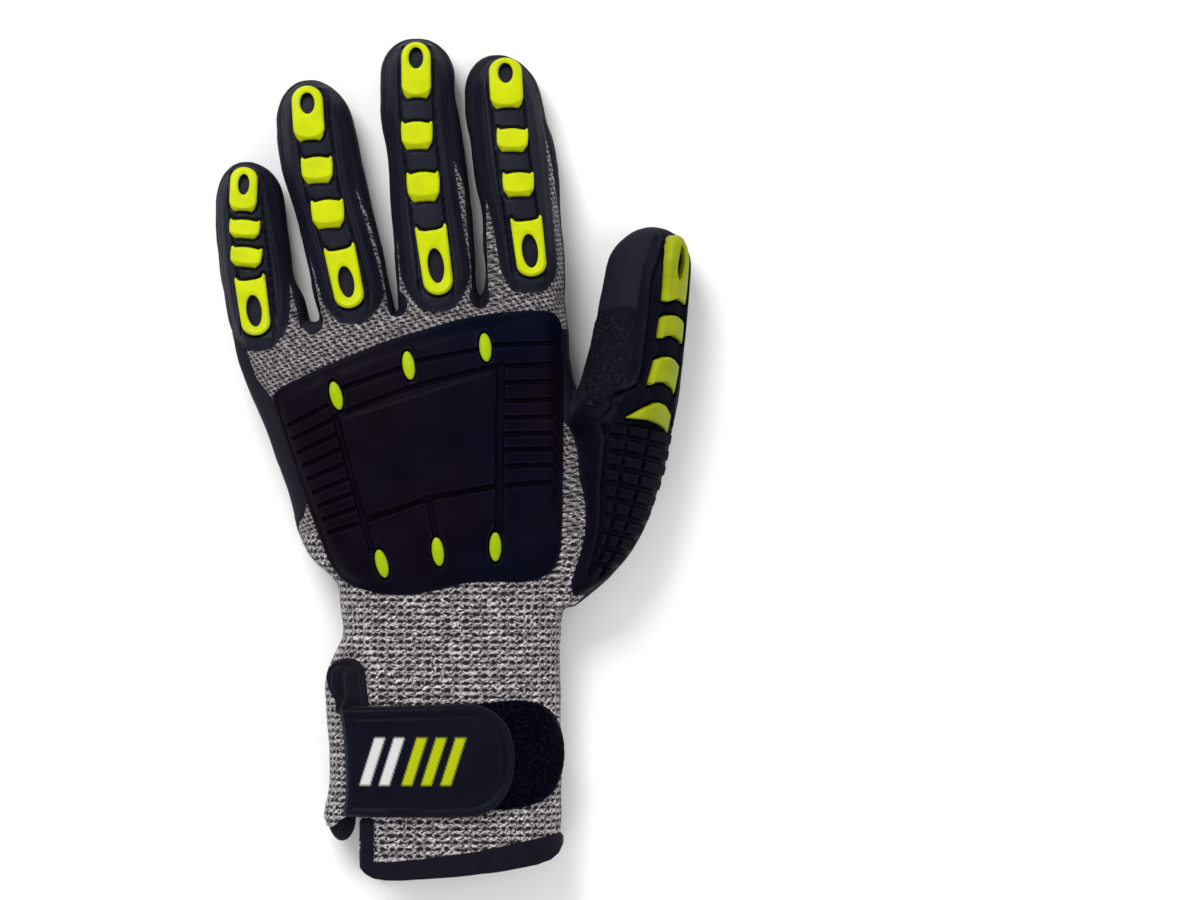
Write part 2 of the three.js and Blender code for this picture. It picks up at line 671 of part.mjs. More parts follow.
// The plate is moulded to the back of the hand alone, and spans the dip beside the thumb's root.
const overHand = (height) => handLoft(height, 0, OUTSIDE);
let plate = overHand(PLATE).intersect(prism(PLATE_OUTLINE))
  .subtract(plateGrooves.subtract(overHand(GROOVE_FLOOR)))
  .add(overHand(PLATE_PANEL).intersect(prism(PANEL_OUTLINE)));
for (const lens of LENSES) {
  plate = plate.subtract(prism(lensOutline(lens, GAP)).subtract(overHand(PAD_SEAT)));
}
addPiece("back_plate", plate.subtract(form(GAP)), RUBBER_BLACK, 0.6);
LENSES.forEach((lens, k) => {
  const made = layer(prism(lensOutline(lens, 0)), PAD_SEAT + GAP, LENS_TOP);
  addPiece(`plate_lens_${k + 1}`, made, LENS_GREEN, 0.4);
});

// Thumb guard: a strip over the thumb's back that spreads into a field of small blocks on its root.
// left and right are measured across the thumb's back from its centre line.
const THUMB_GUARD = [
  { y: -39, left: -7, right: 1 },
  { y: -33, left: -11, right: 3.4 },
  { y: -22, left: -14.6, right: 5.4 },
  { y: -8, left: -16.6, right: 7 },
  { y: 6, left: -17, right: 8 },
  { y: 14, left: -17, right: 9 },
  { y: 19, left: -15.6, right: 9.4 },
  { y: 24, left: -12, right: 9.5 },
  { y: 31, left: -9.8, right: 9.5 },
  { y: 45, left: -9.3, right: 9.2 },
  { y: 59, left: -8.8, right: 8.8 },
  { y: 66, left: -6.8, right: 6.8 },
  { y: 70.4, left: -4, right: 4 },
];
const THUMB_PADS = [
  { name: "thumb_tip_pad", top: 68.8, bottom: 48, half: 5.2, round: "top" },
  { name: "thumb_upper_bar", top: 43.6, bottom: 36, half: 5.4, round: "none" },
  { name: "thumb_lower_bar", top: 30.4, bottom: 21.2, half: 6.2, round: "none" },
];
const THUMB_WEDGE = [[-8, 12.4], [-2, 16.8], [5.4, 14.6], [7, 9]];
const THUMB_HOLE = { y: 60, halfWidth: 2.3, halfLength: 5.2, tilt: 6 };

// The field of blocks: grooves that slant down to the outer side, and two that run along the thumb and
// draw together towards the wrist.
const BLOCK_ROWS = { count: 6, top: 8.4, bottom: -33, slant: -5, reach: 12 };
const BLOCK_COLUMNS = [-9.6, -1.8];
const BLOCK_NARROWING = 0.7;

const sideOf = (key) => THUMB_GUARD.map((row) => [thumbAcross(row.y) + row[key], row.y]);
const thumbOutline = sideOf("right").concat(sideOf("left").reverse());

function blockRow(k) {
  const { count, top, bottom, slant, reach } = BLOCK_ROWS;
  const y = THREE.MathUtils.lerp(top, bottom, k / (count - 1));
  const left = thumbAcross(y) + BLOCK_COLUMNS[0];
  const right = thumbAcross(y) + reach;
  const wide = 2 * GROOVE_HALF;
  return thumbPrism([[left, y], [right, y + slant], [right, y + slant + wide], [left, y + wide]]);
}

function blockColumn(column) {
  const { top, bottom } = BLOCK_ROWS;
  const narrowed = (y) => THREE.MathUtils.mapLinear(y, top, bottom, 1, BLOCK_NARROWING);
  const line = (y) => thumbAcross(y) + column * narrowed(y);
  return thumbPrism(band(line, () => GROOVE_HALF, bottom, top + GROOVE_HALF, 0, 0, 3));
}

const blockCuts = [
  ...Array.from({ length: BLOCK_ROWS.count }, (_, k) => blockRow(k)),
  ...BLOCK_COLUMNS.map(blockColumn),
].reduce((all, cut) => all.add(cut));
let thumbGuard = layer(thumbPrism(thumbOutline), GAP, GUARD_BODY)
  .subtract(blockCuts.subtract(form(GROOVE_FLOOR)));
const wedgeOutline = THUMB_WEDGE.map(([u, y]) => [thumbAcross(y) + u, y]);
const thumbPads = THUMB_PADS.map((pad) => ({
  name: pad.name,
  outline: padOutline(thumbAcross, pad, 0),
  seat: padOutline(thumbAcross, pad, GAP),
}));
thumbPads.push({ name: "thumb_wedge", outline: wedgeOutline, seat: offset(wedgeOutline, GAP) });
for (const pad of thumbPads) {
  thumbGuard = thumbGuard.subtract(thumbPrism(pad.seat).subtract(form(PAD_SEAT)));
}
addPiece("thumb_guard", largest(thumbGuard), GUARD_BLACK, 0.6);
const { y: holeY, halfWidth: holeWidth, halfLength: holeLength, tilt: holeTilt } = THUMB_HOLE;
const thumbHole = thumbPrism(ellipse(thumbAcross(holeY), holeY, holeWidth, holeLength, holeTilt, 8));
for (const pad of thumbPads) {
  const made = layer(thumbPrism(pad.outline), PAD_SEAT + GAP, PAD_TOP);
  addPiece(pad.name, pad.name === "thumb_tip_pad" ? made.subtract(thumbHole) : made, LENS_GREEN, 0.45);
}

// Rough patch sewn in the crotch of the thumb, up to the guard's edge.
const PATCH_OUTLINE = [
  [41.5, 20], [42.2, 31], [45, 45], [56, 46], [57.4, 36], [55.5, 28], [51, 21.6], [44, 18.4],
];
const patch = layer(prism(PATCH_OUTLINE, SPLIT_HEIGHT / 2), GAP, PATCH)
  .subtract(thumbPrism(offset(thumbOutline, GAP)));
addPiece("thumb_patch", largest(patch), COATING_BLACK, 0.98);

// Closure: a strap sewn at the slit's front edge that closes on the loop patch across the cuff's back.
const LOOP_OUTLINE = rounded([
  [-8, -77], [7, -76], [20, -74.4], [31, -77.5], [34.6, -90], [33.2, -101], [29, -106.4], [14, -109.6],
  [-8, -110],
], 4);
const STRAP_OUTLINE = rounded([
  [-35.4, -76.8], [8, -75.8], [15.4, -78], [19.4, -86], [19.6, -99], [15, -108], [8, -110.8], [-35, -110.6],
], 4);
const STRAP_PATCH_INSET = 2.6;

// The strap bridges the slit and what stands up from it, and lies on the loop patch.
const strapClear = prism(offset(GUSSET_UPPER, GAP))
  .add(prism(offset(GUSSET_LOWER, GAP)))
  .add(prism(offset(GUSSET_TAPE, 2 * GAP)));
const strap = form(STRAP).intersect(prism(STRAP_OUTLINE))
  .subtract(form(GAP))
  .subtract(form(LOOP + GAP).intersect(prism(offset(LOOP_OUTLINE, GAP))))
  .subtract(form(GUSSET_RISE + GAP).intersect(strapClear));
addPiece("loop_patch", layer(prism(LOOP_OUTLINE), GAP, LOOP), LOOP_BLACK, 1);
addPiece("strap", strap, RUBBER_BLACK, 0.7);
const panel = prism(offset(STRAP_OUTLINE, -STRAP_PATCH_INSET));
addPiece("strap_patch", layer(panel, STRAP + GAP, STRAP_PATCH), RUBBER_BLACK, 0.55);

export default glove;
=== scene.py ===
import math
import bmesh
import bpy
import numpy as np
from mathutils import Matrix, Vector, noise
from mathutils.bvhtree import BVHTree


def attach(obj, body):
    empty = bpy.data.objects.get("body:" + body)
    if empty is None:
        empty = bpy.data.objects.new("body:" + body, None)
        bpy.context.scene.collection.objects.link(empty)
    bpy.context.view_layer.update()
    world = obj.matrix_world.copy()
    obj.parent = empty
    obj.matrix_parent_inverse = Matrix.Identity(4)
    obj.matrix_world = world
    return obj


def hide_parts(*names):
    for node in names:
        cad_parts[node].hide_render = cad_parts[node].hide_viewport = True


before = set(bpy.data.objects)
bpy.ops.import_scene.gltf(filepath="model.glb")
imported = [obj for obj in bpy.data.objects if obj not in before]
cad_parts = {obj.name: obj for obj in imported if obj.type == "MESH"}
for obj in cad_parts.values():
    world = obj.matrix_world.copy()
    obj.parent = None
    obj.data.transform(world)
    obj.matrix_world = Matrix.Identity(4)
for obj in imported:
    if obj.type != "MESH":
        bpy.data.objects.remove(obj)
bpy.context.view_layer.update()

# The table and the light. The glove lies palm down on a plain pale sheet, and a long lens looks at it straight from
# above. A big soft box hangs over the upper left, and two weaker ones over the right and over the wrist end.
FLOOR_WHITE = (0.80, 0.80, 0.81, 1)
CAMERA_HEIGHT = 2.2
FRAME_WIDTH = 0.372
CAMERA_OVER = (0.0457, 0.0025)
GLOVE_LEVEL = 0.014
SENSOR = 36
ROOM_LIGHT = 0.60

bpy.ops.object.select_all(action="DESELECT")
bpy.ops.mesh.primitive_plane_add(size=6, location=(0, 0, -0.0002))
floor = bpy.context.object
floor.name = "table"

bpy.ops.object.camera_add(location=(*CAMERA_OVER, CAMERA_HEIGHT), rotation=(0, 0, 0))
camera = bpy.context.object
camera.data.sensor_width = SENSOR
camera.data.lens = SENSOR * (CAMERA_HEIGHT - GLOVE_LEVEL) / FRAME_WIDTH
camera.data.clip_end = 20
bpy.context.scene.camera = camera


def soft_box(name, place, size, watts):
    """Hangs a square lamp that faces the middle of the glove."""
    bpy.ops.object.light_add(type="AREA", location=place)
    lamp = bpy.context.object
    lamp.name = name
    lamp.data.size = size
    lamp.data.energy = watts
    lamp.rotation_euler = (-Vector(place)).to_track_quat("-Z", "Y").to_euler()


soft_box("upper_left_box", (-0.55, 1.05, 1.0), 0.8, 24)
soft_box("right_box", (1.1, -0.1, 0.9), 1.0, 6)
soft_box("low_box", (-0.2, -1.1, 0.8), 0.9, 5)

world = bpy.data.worlds.new("room")
world.use_nodes = True
backdrop = world.node_tree.nodes["Background"]
backdrop.inputs["Color"].default_value = (1, 1, 1, 1)
backdrop.inputs["Strength"].default_value = ROOM_LIGHT
bpy.context.scene.world = world
bpy.context.scene.view_settings.view_transform = "Standard"
bpy.context.tool_settings.mesh_select_mode = (False, False, True)


def new_finish(name, **values):
    """A material whose shader holds the given plain values, such as Roughness=0.5."""
    made = bpy.data.materials.new(name)
    made.use_nodes = True
    shader = made.node_tree.nodes["Principled BSDF"]
    for socket, value in values.items():
        shader.inputs[socket.replace("_", " ")].default_value = value
    return made


def add(made, kind, inputs=None, **settings):
    """Adds a node to a material; an input that is another node's output is joined, any other is a value."""
    tree = made.node_tree
    node = tree.nodes.new(kind)
    for key, value in settings.items():
        setattr(node, key, value)
    for key, value in (inputs or {}).items():
        if isinstance(value, bpy.types.NodeSocket):
            tree.links.new(value, node.inputs[key])
        else:
            node.inputs[key].default_value = value
    return node


def join(made, output, socket):
    """Joins a node output to a socket of the material's shader."""
    made.node_tree.links.new(output, made.node_tree.nodes["Principled BSDF"].inputs[socket])


table_finish = new_finish("table_sheet", Base_Color=FLOOR_WHITE, Roughness=0.9)
grain = add(table_finish, "ShaderNodeTexNoise", {"Scale": 60.0, "Detail": 4.0})
tint = add(table_finish, "ShaderNodeMapRange", {0: grain.outputs["Fac"], 3: 0.84, 4: 0.90})
join(table_finish, tint.outputs[0], "Base Color")
floor.data.materials.append(table_finish)

# The hand form. A glove liner is knitted to the shape of a hand and drawn on a metal form to be dipped, and the empty
# glove keeps that shape. The form is skinned over cross-sections, in millimetres, then fused, smoothed and given the
# low swells and gathers of cloth that lies empty.
MM = 0.001
SIDES = 40
CROWN = 2.5
HAND_CROWN = 2.7
BELLY = 3.2
WAIST = 0.45
HAND_RINGS = 62
FINGER_STEP = 2.5
THUMB_STEP = 3
TIP_TURN = 1.48
CELL = 0.8
HAND = [
    # y_left, y_right, left, right, floor, top
    (39.6, 48.4, -68.4, 34.8, 3.2, 22),
    (32.6, 37.4, -66.8, 35.8, 2.2, 25.6),
    (22, 24, -63.2, 37.4, 0.8, 27.4),
    (7, 8, -57, 43.4, -0.3, 28.2),
    (-9, -9, -51.2, 46, -0.5, 28),
    (-25, -24, -46.9, 43.4, -0.5, 27),
    (-31.6, -31, -43.6, 40.6, -0.5, 26.4),
    (-38, -37, -36.4, 36.4, -0.5, 25.6),
    (-46, -45, -34.9, 34.2, -0.5, 24.8),
    (-56, -56, -34.3, 33.5, -0.5, 24),
    (-61, -60, -36.7, 33.4, -0.5, 23.8),
    (-66, -64, -38.9, 33.3, -0.5, 23.6),
    (-78, -76, -39.5, 33.5, -0.5, 23.2),
    (-90, -86, -38.6, 33.6, -0.5, 23.2),
    (-102, -97, -38.4, 33.9, -0.5, 23.3),
    (-112, -106, -40.1, 33.7, -0.5, 23.4),
    (-118.6, -111.7, -37.8, 33.6, -0.5, 23.4),
    (-121, -113.6, -35.5, 33.4, -0.5, 23.2),
    (-128, -121, -34, 33.2, -0.5, 22.8),
    (-137, -130, -33, 32.6, -0.5, 22.2),
]
FINGERS = {
    # edges: y, left, right; depths: y, floor, top
    "index": {
        "tip": 125.2,
        "edges": [(34, 10.4, 31.6), (44, 8.8, 33.2), (48.6, 8.9, 34.2), (52.7, 10.1, 34.6), (67.6, 9.3, 33.9),
                  (75, 9.4, 33.3), (82.5, 7.8, 32.7), (89.9, 6.6, 32.4), (97.3, 5.9, 31.2), (104.8, 4.2, 29),
                  (112.2, 3.9, 27.4)],
        "depths": [(34, 3.2, 22.6), (53, 3.4, 21), (94, 1.6, 17.4), (112.2, -0.1, 15.2)],
    },
    "middle": {
        "tip": 130.4,
        "edges": [(34, -14.7, 7.8), (44, -15.9, 8.4), (48.6, -16.7, 8.3), (52.7, -17.2, 7.1), (60.1, -17.8, 7.0),
                  (67.6, -18.1, 6.6), (75, -18.8, 6.0), (82.5, -19.4, 5.1), (89.9, -19.7, 4.1), (97.3, -20.6, 3.0),
                  (104.8, -22.2, 2), (112.2, -22.5, 0.5), (119.7, -22.2, 0.2)],
        "depths": [(34, 3.2, 24.6), (53, 3.6, 21.6), (96, 1.6, 17.8), (119.7, -0.1, 15.4)],
    },
    "ring": {
        "tip": 117.5,
        "edges": [(30, -37.6, -15.2), (49, -42.3, -18.8), (60.1, -44.8, -20.9), (67.6, -46.7, -22.5),
                  (75, -48.5, -24.6), (82.5, -50.7, -26.2), (89.9, -52.9, -28.1), (97.3, -54.4, -29.6),
                  (104.8, -54.4, -31.2)],
        "depths": [(30, 3, 24.8), (49, 3.4, 20.8), (87, 1.4, 17), (104.8, -0.1, 15)],
    },
    "pinky": {
        "tip": 92.4,
        "edges": [(26, -61.6, -41.6), (45.3, -69.4, -45.3), (49, -70.2, -46.3), (56.4, -71.8, -49.6),
                  (63.9, -72.7, -50.4), (71.3, -73.5, -51.6), (78.7, -73.7, -52.5)],
        "depths": [(26, 2.4, 21), (44, 2.8, 19), (62, 1.8, 16.6), (78.7, -0.1, 14.4)],
    },
}
THUMB_ROLL = math.radians(45)
THUMB_TIP = 71.3
THUMB = [
    # y, x, z, broad, deep
    (-46, 31, 12.6, 5.4, 7),
    (-39, 36, 12.8, 10, 9.2),
    (-28, 41.6, 13.2, 15, 11.4),
    (-8, 48.2, 13.6, 17.4, 12.2),
    (12, 52.6, 13.8, 17, 12.2),
    (30, 56.6, 14, 15.2, 11.7),
    (46, 59.2, 13.4, 13.8, 11),
    (60, 60.9, 12.6, 12.4, 10.4),
]


def read_curve(places, values, at):
    """A smooth curve through a table's column, read at any place."""
    order = np.argsort(places)
    x = np.asarray(places, float)[order]
    v = np.asarray(values, float)[order]
    slope = np.gradient(v, x)
    k = np.clip(np.searchsorted(x, at) - 1, 0, len(x) - 2)
    wide = x[k + 1] - x[k]
    t = (np.asarray(at, float) - x[k]) / wide
    inside = np.clip(t, 0, 1)
    curve = ((2 * inside**3 - 3 * inside**2 + 1) * v[k] + (inside**3 - 2 * inside**2 + inside) * wide * slope[k]
             + (3 * inside**2 - 2 * inside**3) * v[k + 1] + (inside**3 - inside**2) * wide * slope[k + 1])
    return curve + np.where(t < 0, t * wide * slope[k], 0) + np.where(t > 1, (t - 1) * wide * slope[k + 1], 0)


def tube_section(half, low, high, crown=CROWN):
    """Points round a cloth tube, crowned above and flatter below, as offsets from its middle."""
    turn = np.linspace(0, 2 * np.pi, SIDES, endpoint=False)
    c, s = np.cos(turn), np.sin(turn)
    power = np.where(s >= 0, 2 / crown, 2 / BELLY)
    middle = low + WAIST * (high - low)
    reach = np.where(s >= 0, high - middle, middle - low)
    return np.sign(c) * half * np.abs(c)**power, middle + np.sign(s) * reach * np.abs(s)**power


def skin(rings):
    """Draws a skin over cross-sections: a filled ring is extruded from each one to the next."""
    bpy.ops.mesh.primitive_circle_add(vertices=SIDES, fill_type="NGON")
    made = bpy.context.object
    made.data.vertices.foreach_set("co", np.asarray(rings[0]).ravel() * MM)
    bpy.ops.object.mode_set(mode="EDIT")
    bpy.ops.mesh.select_all(action="SELECT")
    before = np.asarray(rings[0]) * MM
    for ring in rings[1:]:
        bpy.ops.mesh.extrude_region_move()
        after = np.asarray(ring) * MM
        for vertex in bmesh.from_edit_mesh(made.data).verts:
            if vertex.select:
                vertex.co = after[np.abs(before - vertex.co).sum(1).argmin()]
        before = after
    bpy.ops.mesh.select_all(action="SELECT")
    bpy.ops.mesh.normals_make_consistent(inside=False)
    bpy.ops.object.mode_set(mode="OBJECT")
    return made


def rounded_tip(rows, tip):
    """Rows (y, middle, half, low, high) carried on to a round fingertip."""
    y, middle, half, low, high = rows[-1]
    lean = (middle - rows[-4][1]) / (y - rows[-4][0])
    centre = low + WAIST * (high - low)
    for turn in np.linspace(0, TIP_TURN, 9)[1:]:
        s, c = math.sin(turn), math.cos(turn)
        rows.append((y + (tip - y) * s, middle + lean * (tip - y) * s, half * c,
                     centre + (low - centre) * c, centre + (high - centre) * c))
    return rows


def finger_form(finger):
    """A finger of the form, from inside the hand to its tip."""
    edges = np.array(finger["edges"])
    depths = np.array(finger["depths"])
    at = np.arange(edges[0, 0], edges[-1, 0] + 0.01, FINGER_STEP)
    left = read_curve(edges[:, 0], edges[:, 1], at)
    right = read_curve(edges[:, 0], edges[:, 2], at)
    low = read_curve(depths[:, 0], depths[:, 1], at)
    high = read_curve(depths[:, 0], depths[:, 2], at)
    rows = list(zip(at, (left + right) / 2, (right - left) / 2, low, high))
    rings = []
    for y, middle, half, floor_z, top_z in rounded_tip(rows, finger["tip"]):
        across, up = tube_section(half, floor_z, top_z)
        rings.append(np.column_stack([middle + across, np.full(SIDES, y), up]))
    return skin(rings)


def thumb_form():
    """The thumb of the form, which lies rolled on its side beside the hand."""
    table = np.array(THUMB)
    at = np.arange(table[0, 0], table[-1, 0] + 0.01, THUMB_STEP)
    x, z, broad, deep = (read_curve(table[:, 0], table[:, k], at) for k in (1, 2, 3, 4))
    rows = list(zip(at, x, broad, -deep, deep))
    level = dict(zip(np.round(at, 3), z))
    rings = []
    for y, middle, half, low, high in rounded_tip(rows, THUMB_TIP):
        reach = (high - low) / 2
        turn = np.linspace(0, 2 * np.pi, SIDES, endpoint=False)
        c, s = np.cos(turn), np.sin(turn)
        u = np.sign(c) * half * np.abs(c)**(2 / CROWN)
        w = np.sign(s) * reach * np.abs(s)**(2 / np.where(s >= 0, CROWN, BELLY))
        height = level.get(round(float(y), 3), z[-1])
        rings.append(np.column_stack([middle + u * math.cos(THUMB_ROLL) + w * math.sin(THUMB_ROLL),
                                      np.full(SIDES, y),
                                      height - u * math.sin(THUMB_ROLL) + w * math.cos(THUMB_ROLL)]))
    return skin(rings)


def hand_form():
    """The hand and cuff of the form; each row slants from the little-finger side to the thumb side."""
    table = np.array(HAND)
    key = -table[:, 0]
    at = np.linspace(key[0], key[-1], HAND_RINGS)
    rings = []
    for row in zip(*(read_curve(key, table[:, k], at) for k in range(6))):
        y_left, y_right, left, right, floor_z, top_z = row
        across, up = tube_section((right - left) / 2, floor_z, top_z, HAND_CROWN)
        share = (across + (right - left) / 2) / (right - left)
        rings.append(np.column_stack([(left + right) / 2 + across, y_left + share * (y_right - y_left), up]))
    return skin(rings)


def positions(piece):
    """A piece's vertices, in millimetres."""
    co = np.empty(len(piece.data.vertices) * 3)
    piece.data.vertices.foreach_get("co", co)
    return co.reshape(-1, 3) / MM


def move_to(piece, co):
    """Puts a piece's vertices where they are given, in millimetres."""
    piece.data.vertices.foreach_set("co", (co * MM).ravel())
    piece.data.update()


def pick(piece):
    """Makes a piece the only selected and active one."""
    bpy.ops.object.select_all(action="DESELECT")
    piece.select_set(True)
    bpy.context.view_layer.objects.active = piece


def apply(piece, kind, **settings):
    """Adds a modifier and applies it at once."""
    pick(piece)
    modifier = piece.modifiers.new(kind.lower(), kind)
    for key, value in settings.items():
        setattr(modifier, key, value)
    bpy.ops.object.modifier_apply(modifier=modifier.name)


bpy.ops.object.select_all(action="DESELECT")
parts = [hand_form(), thumb_form()] + [finger_form(finger) for finger in FINGERS.values()]
for part in parts:
    part.select_set(True)
bpy.context.view_layer.objects.active = parts[0]
bpy.ops.object.join()
form = bpy.context.object
form.name = "hand_form"
apply(form, "REMESH", mode="VOXEL", voxel_size=CELL * MM, use_smooth_shade=True)
apply(form, "SMOOTH", factor=0.6, iterations=10)


def roughen(piece, name, scale, depth, strength):
    """Moves a piece's surface in and out by cloud noise; scale and strength are in millimetres."""
    clouds = bpy.data.textures.new(name, "CLOUDS")
    clouds.noise_scale = scale * MM
    clouds.noise_depth = depth
    apply(piece, "DISPLACE", texture=clouds, texture_coords="LOCAL", strength=strength * MM, mid_level=0.5)


roughen(form, "swells", 22, 1, 0.9)
roughen(form, "gathers", 9, 2, 0.5)
cloth_surface = BVHTree.FromPolygons([v.co / MM for v in form.data.vertices],
                                     [p.vertices[:] for p in form.data.polygons])

# The lines on the form. The dip's edge runs round the back of the hand and up the backs of the fingers. The cuff is
# cut off slanting at the mouth and slit on the little-finger side, and tape binds the mouth and the slit's edge. The
# cloth is drawn onto these lines, so that each layer is cut clean.
BACK = [(-60, -84), (-60, -12), (-49.4, -11), (-47.6, -6), (-49.4, 3), (-51.6, 12), (-55.6, 18.5), (-60.6, 25),
        (-63.6, 33.5), (-59, 38.5), (-46.4, 40.2), (-40, 41.4), (-21.4, 43.4), (-14, 45), (3.6, 46.8),
        (12.6, 48.2), (32.8, 47.4), (33.9, 30), (33.9, 11.5), (36.4, 9.6), (38.4, 5), (40.2, 0), (41.8, -7),
        (43, -17), (42.6, -25), (41, -31), (39.6, -36), (38.6, -40), (39.6, -42.6), (46, -41.6), (60, -40),
        (60, -84)]
WEBS = [(-43, 42.2), (-17, 47.6), (8.5, 50.2)]
WEB_REACH = 3.2
LITTLE_SIDE = [
    # down the glove, least height of the knit on the little-finger side
    (-3, 12), (7, 21.6), (14, 21.4), (18, 20), (22, 15), (26, 8), (30, 3), (34, 1)]
THUMB_SIDE = [
    # the same on the thumb side
    (30, 12), (37, 16.5), (45, 15.5), (50, 11), (56, 1)]
DIP = [(-60, -62), (-34, -69), (-22, -75.5), (-2, -79), (18, -75.5), (30, -69), (60, -62)]
HEM = [(-60, -125.2), (-24, -125.2), (-9.5, -123.8), (9.8, -121.2), (26, -117.6), (60, -111)]
SLIT = [(-32.8, -66), (-28.6, -66), (-28.6, -140), (-32.8, -140)]
SLIT_EDGE = [(-28.6, -111.2), (-24.2, -111.2), (-24.2, -140), (-28.6, -140)]
MOUTH = [(-60, -106), (-40.4, -110.2), (-39.4, -113), (-38.3, -114.5), (-37.2, -113.6), (-35.8, -112.2),
         (-33.4, -110.8), (-28.8, -110.8), (-28.7, -124.6), (-28, -126.6), (-26.6, -128.4), (-24.2, -129.8),
         (-20.9, -130.4), (-16, -130.5), (1.4, -129.3), (14, -127.8), (25.9, -125.6), (29.8, -124.2),
         (32, -122.2), (33.2, -119.6), (34, -114), (40, -108)]
NOTCH = [(-32.8, -112.4), (-28.6, -112.4), (-28.6, -140), (-32.8, -140)]
HALFWAY = 12
TONGUES = {
    # y, left, right of the knit that shows up the back of each finger
    "index": [(40, 11.5, 37), (66, 10.6, 37), (78, 10.4, 32.6), (90, 11, 31), (104, 13, 28), (112, 14, 22)],
    "middle": [(40, -15.8, 6.2), (58, -16.6, 5.9), (75, -17.6, 4.2), (84, -17.2, 3.6), (91, -16, 1),
               (100, -15, -5)],
    "ring": [(36, -39, -17.6), (50, -41.6, -20.4), (62, -44.2, -22.6), (75, -46.6, -26.4), (86, -48, -31),
             (98, -48, -38)],
    "pinky": [(32, -63, -45.4), (46, -67.4, -48.2), (58, -69.4, -51.4), (66, -69, -54.5), (76, -68, -58)],
}
THUMB_TONGUE = [(-4, 22, 29), (8, 20, 32), (20, 22, 35), (34, 22.6, 37), (37, 20.8, 37), (44, 21, 37), (47, 23, 37),
                (56, 28, 36)]
THUMB_TONGUE_LEVEL = 44

apply(form, "TRIANGULATE")
surface = positions(form)
surface[:, 2] = np.maximum(surface[:, 2], 0)


def inside_by(x, y, outline):
    """How far points lie inside a closed outline, in millimetres; outside it the number is negative."""
    a = np.asarray(outline, float)
    b = np.roll(a, -1, axis=0)
    run, rise = (b - a).T
    result = np.empty(len(x))
    for start in range(0, len(x), 20000):
        px = x[start:start + 20000, None]
        py = y[start:start + 20000, None]
        t = np.clip(((px - a[:, 0]) * run + (py - a[:, 1]) * rise) / (run**2 + rise**2 + 1e-12), 0, 1)
        near = np.hypot(px - a[:, 0] - t * run, py - a[:, 1] - t * rise).min(1)
        above = (a[:, 1] > py) != (b[:, 1] > py)
        cross = px < run * (py - a[:, 1]) / np.where(rise == 0, 1e-12, rise) + a[:, 0]
        odd = (above & cross).sum(1) % 2 == 1
        result[start:start + 20000] = np.where(odd, near, -near)
    return result


def settle_edge(piece, co, value):
    """Draws the vertices next to the line where value is 0 onto that line, so that a cut along it is clean."""
    edges = np.empty(len(piece.data.edges) * 2, int)
    piece.data.edges.foreach_get("vertices", edges)
    a, b = edges.reshape(-1, 2).T
    crossing = value[a] * value[b] < 0
    a, b = a[crossing], b[crossing]
    point = co[a] + (co[b] - co[a]) * (value[a] / (value[a] - value[b]))[:, None]
    nearer = np.where(np.abs(value[a]) <= np.abs(value[b]), a, b)
    total = np.zeros_like(co)
    count = np.zeros(len(co))
    np.add.at(total, nearer, point)
    np.add.at(count, nearer, 1)
    moved = count > 0
    co[moved] = total[moved] / count[moved][:, None]
    value[moved] = 0


def face_mean(piece, value):
    """A value of the vertices, averaged over each face."""
    loops = np.empty(len(piece.data.loops), int)
    piece.data.loops.foreach_get("vertex_index", loops)
    starts = np.empty(len(piece.data.polygons), int)
    piece.data.polygons.foreach_get("loop_start", starts)
    counts = np.empty(len(piece.data.polygons), int)
    piece.data.polygons.foreach_get("loop_total", counts)
    return np.add.reduceat(value[loops], starts) / counts


def ramp(value, low, high):
    """0 below low, 1 above high, and a smooth rise between."""
    t = np.clip((value - low) / (high - low), 0, 1)
    return t * t * (3 - 2 * t)


def strip(rows):
    """The closed outline of a strip given as rows (y, left, right)."""
    return [(left, y) for y, left, _ in rows] + [(right, y) for y, _, right in reversed(rows)]


def knit_shows(co):
    """How far inside the knit a point of the cloth lies; negative is dipped."""
    x, y, z = co.T
    back = inside_by(x, y, BACK)
    for rows in TONGUES.values():
        back = np.maximum(back, inside_by(x, y, strip(rows)))
    for web_x, web_y in WEBS:
        back = np.minimum(back, np.hypot(x - web_x, 0.8 * (y - web_y)) - WEB_REACH)
    low = np.where(x < 0, np.interp(-y, *np.array(LITTLE_SIDE).T), np.interp(-y, *np.array(THUMB_SIDE).T))
    back = np.minimum(back, z - low)
    u = x * math.cos(THUMB_ROLL) - z * math.sin(THUMB_ROLL)
    w = x * math.sin(THUMB_ROLL) + z * math.cos(THUMB_ROLL)
    thumb = np.minimum(inside_by(u, y, strip(THUMB_TONGUE)), w - THUMB_TONGUE_LEVEL)
    cuff = np.interp(x, *np.array(DIP).T) - y
    return np.maximum.reduce([back, thumb, cuff])


def bound(co):
    """How far inside the tape of the hem and of the slit's edge a point lies."""
    x, y, z = co.T
    hem = np.interp(x, *np.array(HEM).T) - y
    return np.maximum(hem, np.minimum(inside_by(x, y, SLIT_EDGE), z - HALFWAY))


def slit(co):
    """How far inside the slit a point lies."""
    x, y, z = co.T
    return np.maximum(np.minimum(inside_by(x, y, SLIT), z - HALFWAY), inside_by(x, y, NOTCH))


def past_mouth(co):
    """How far above the cuff's mouth a point lies."""
    return co[:, 1] - np.interp(co[:, 0], *np.array(MOUTH).T)


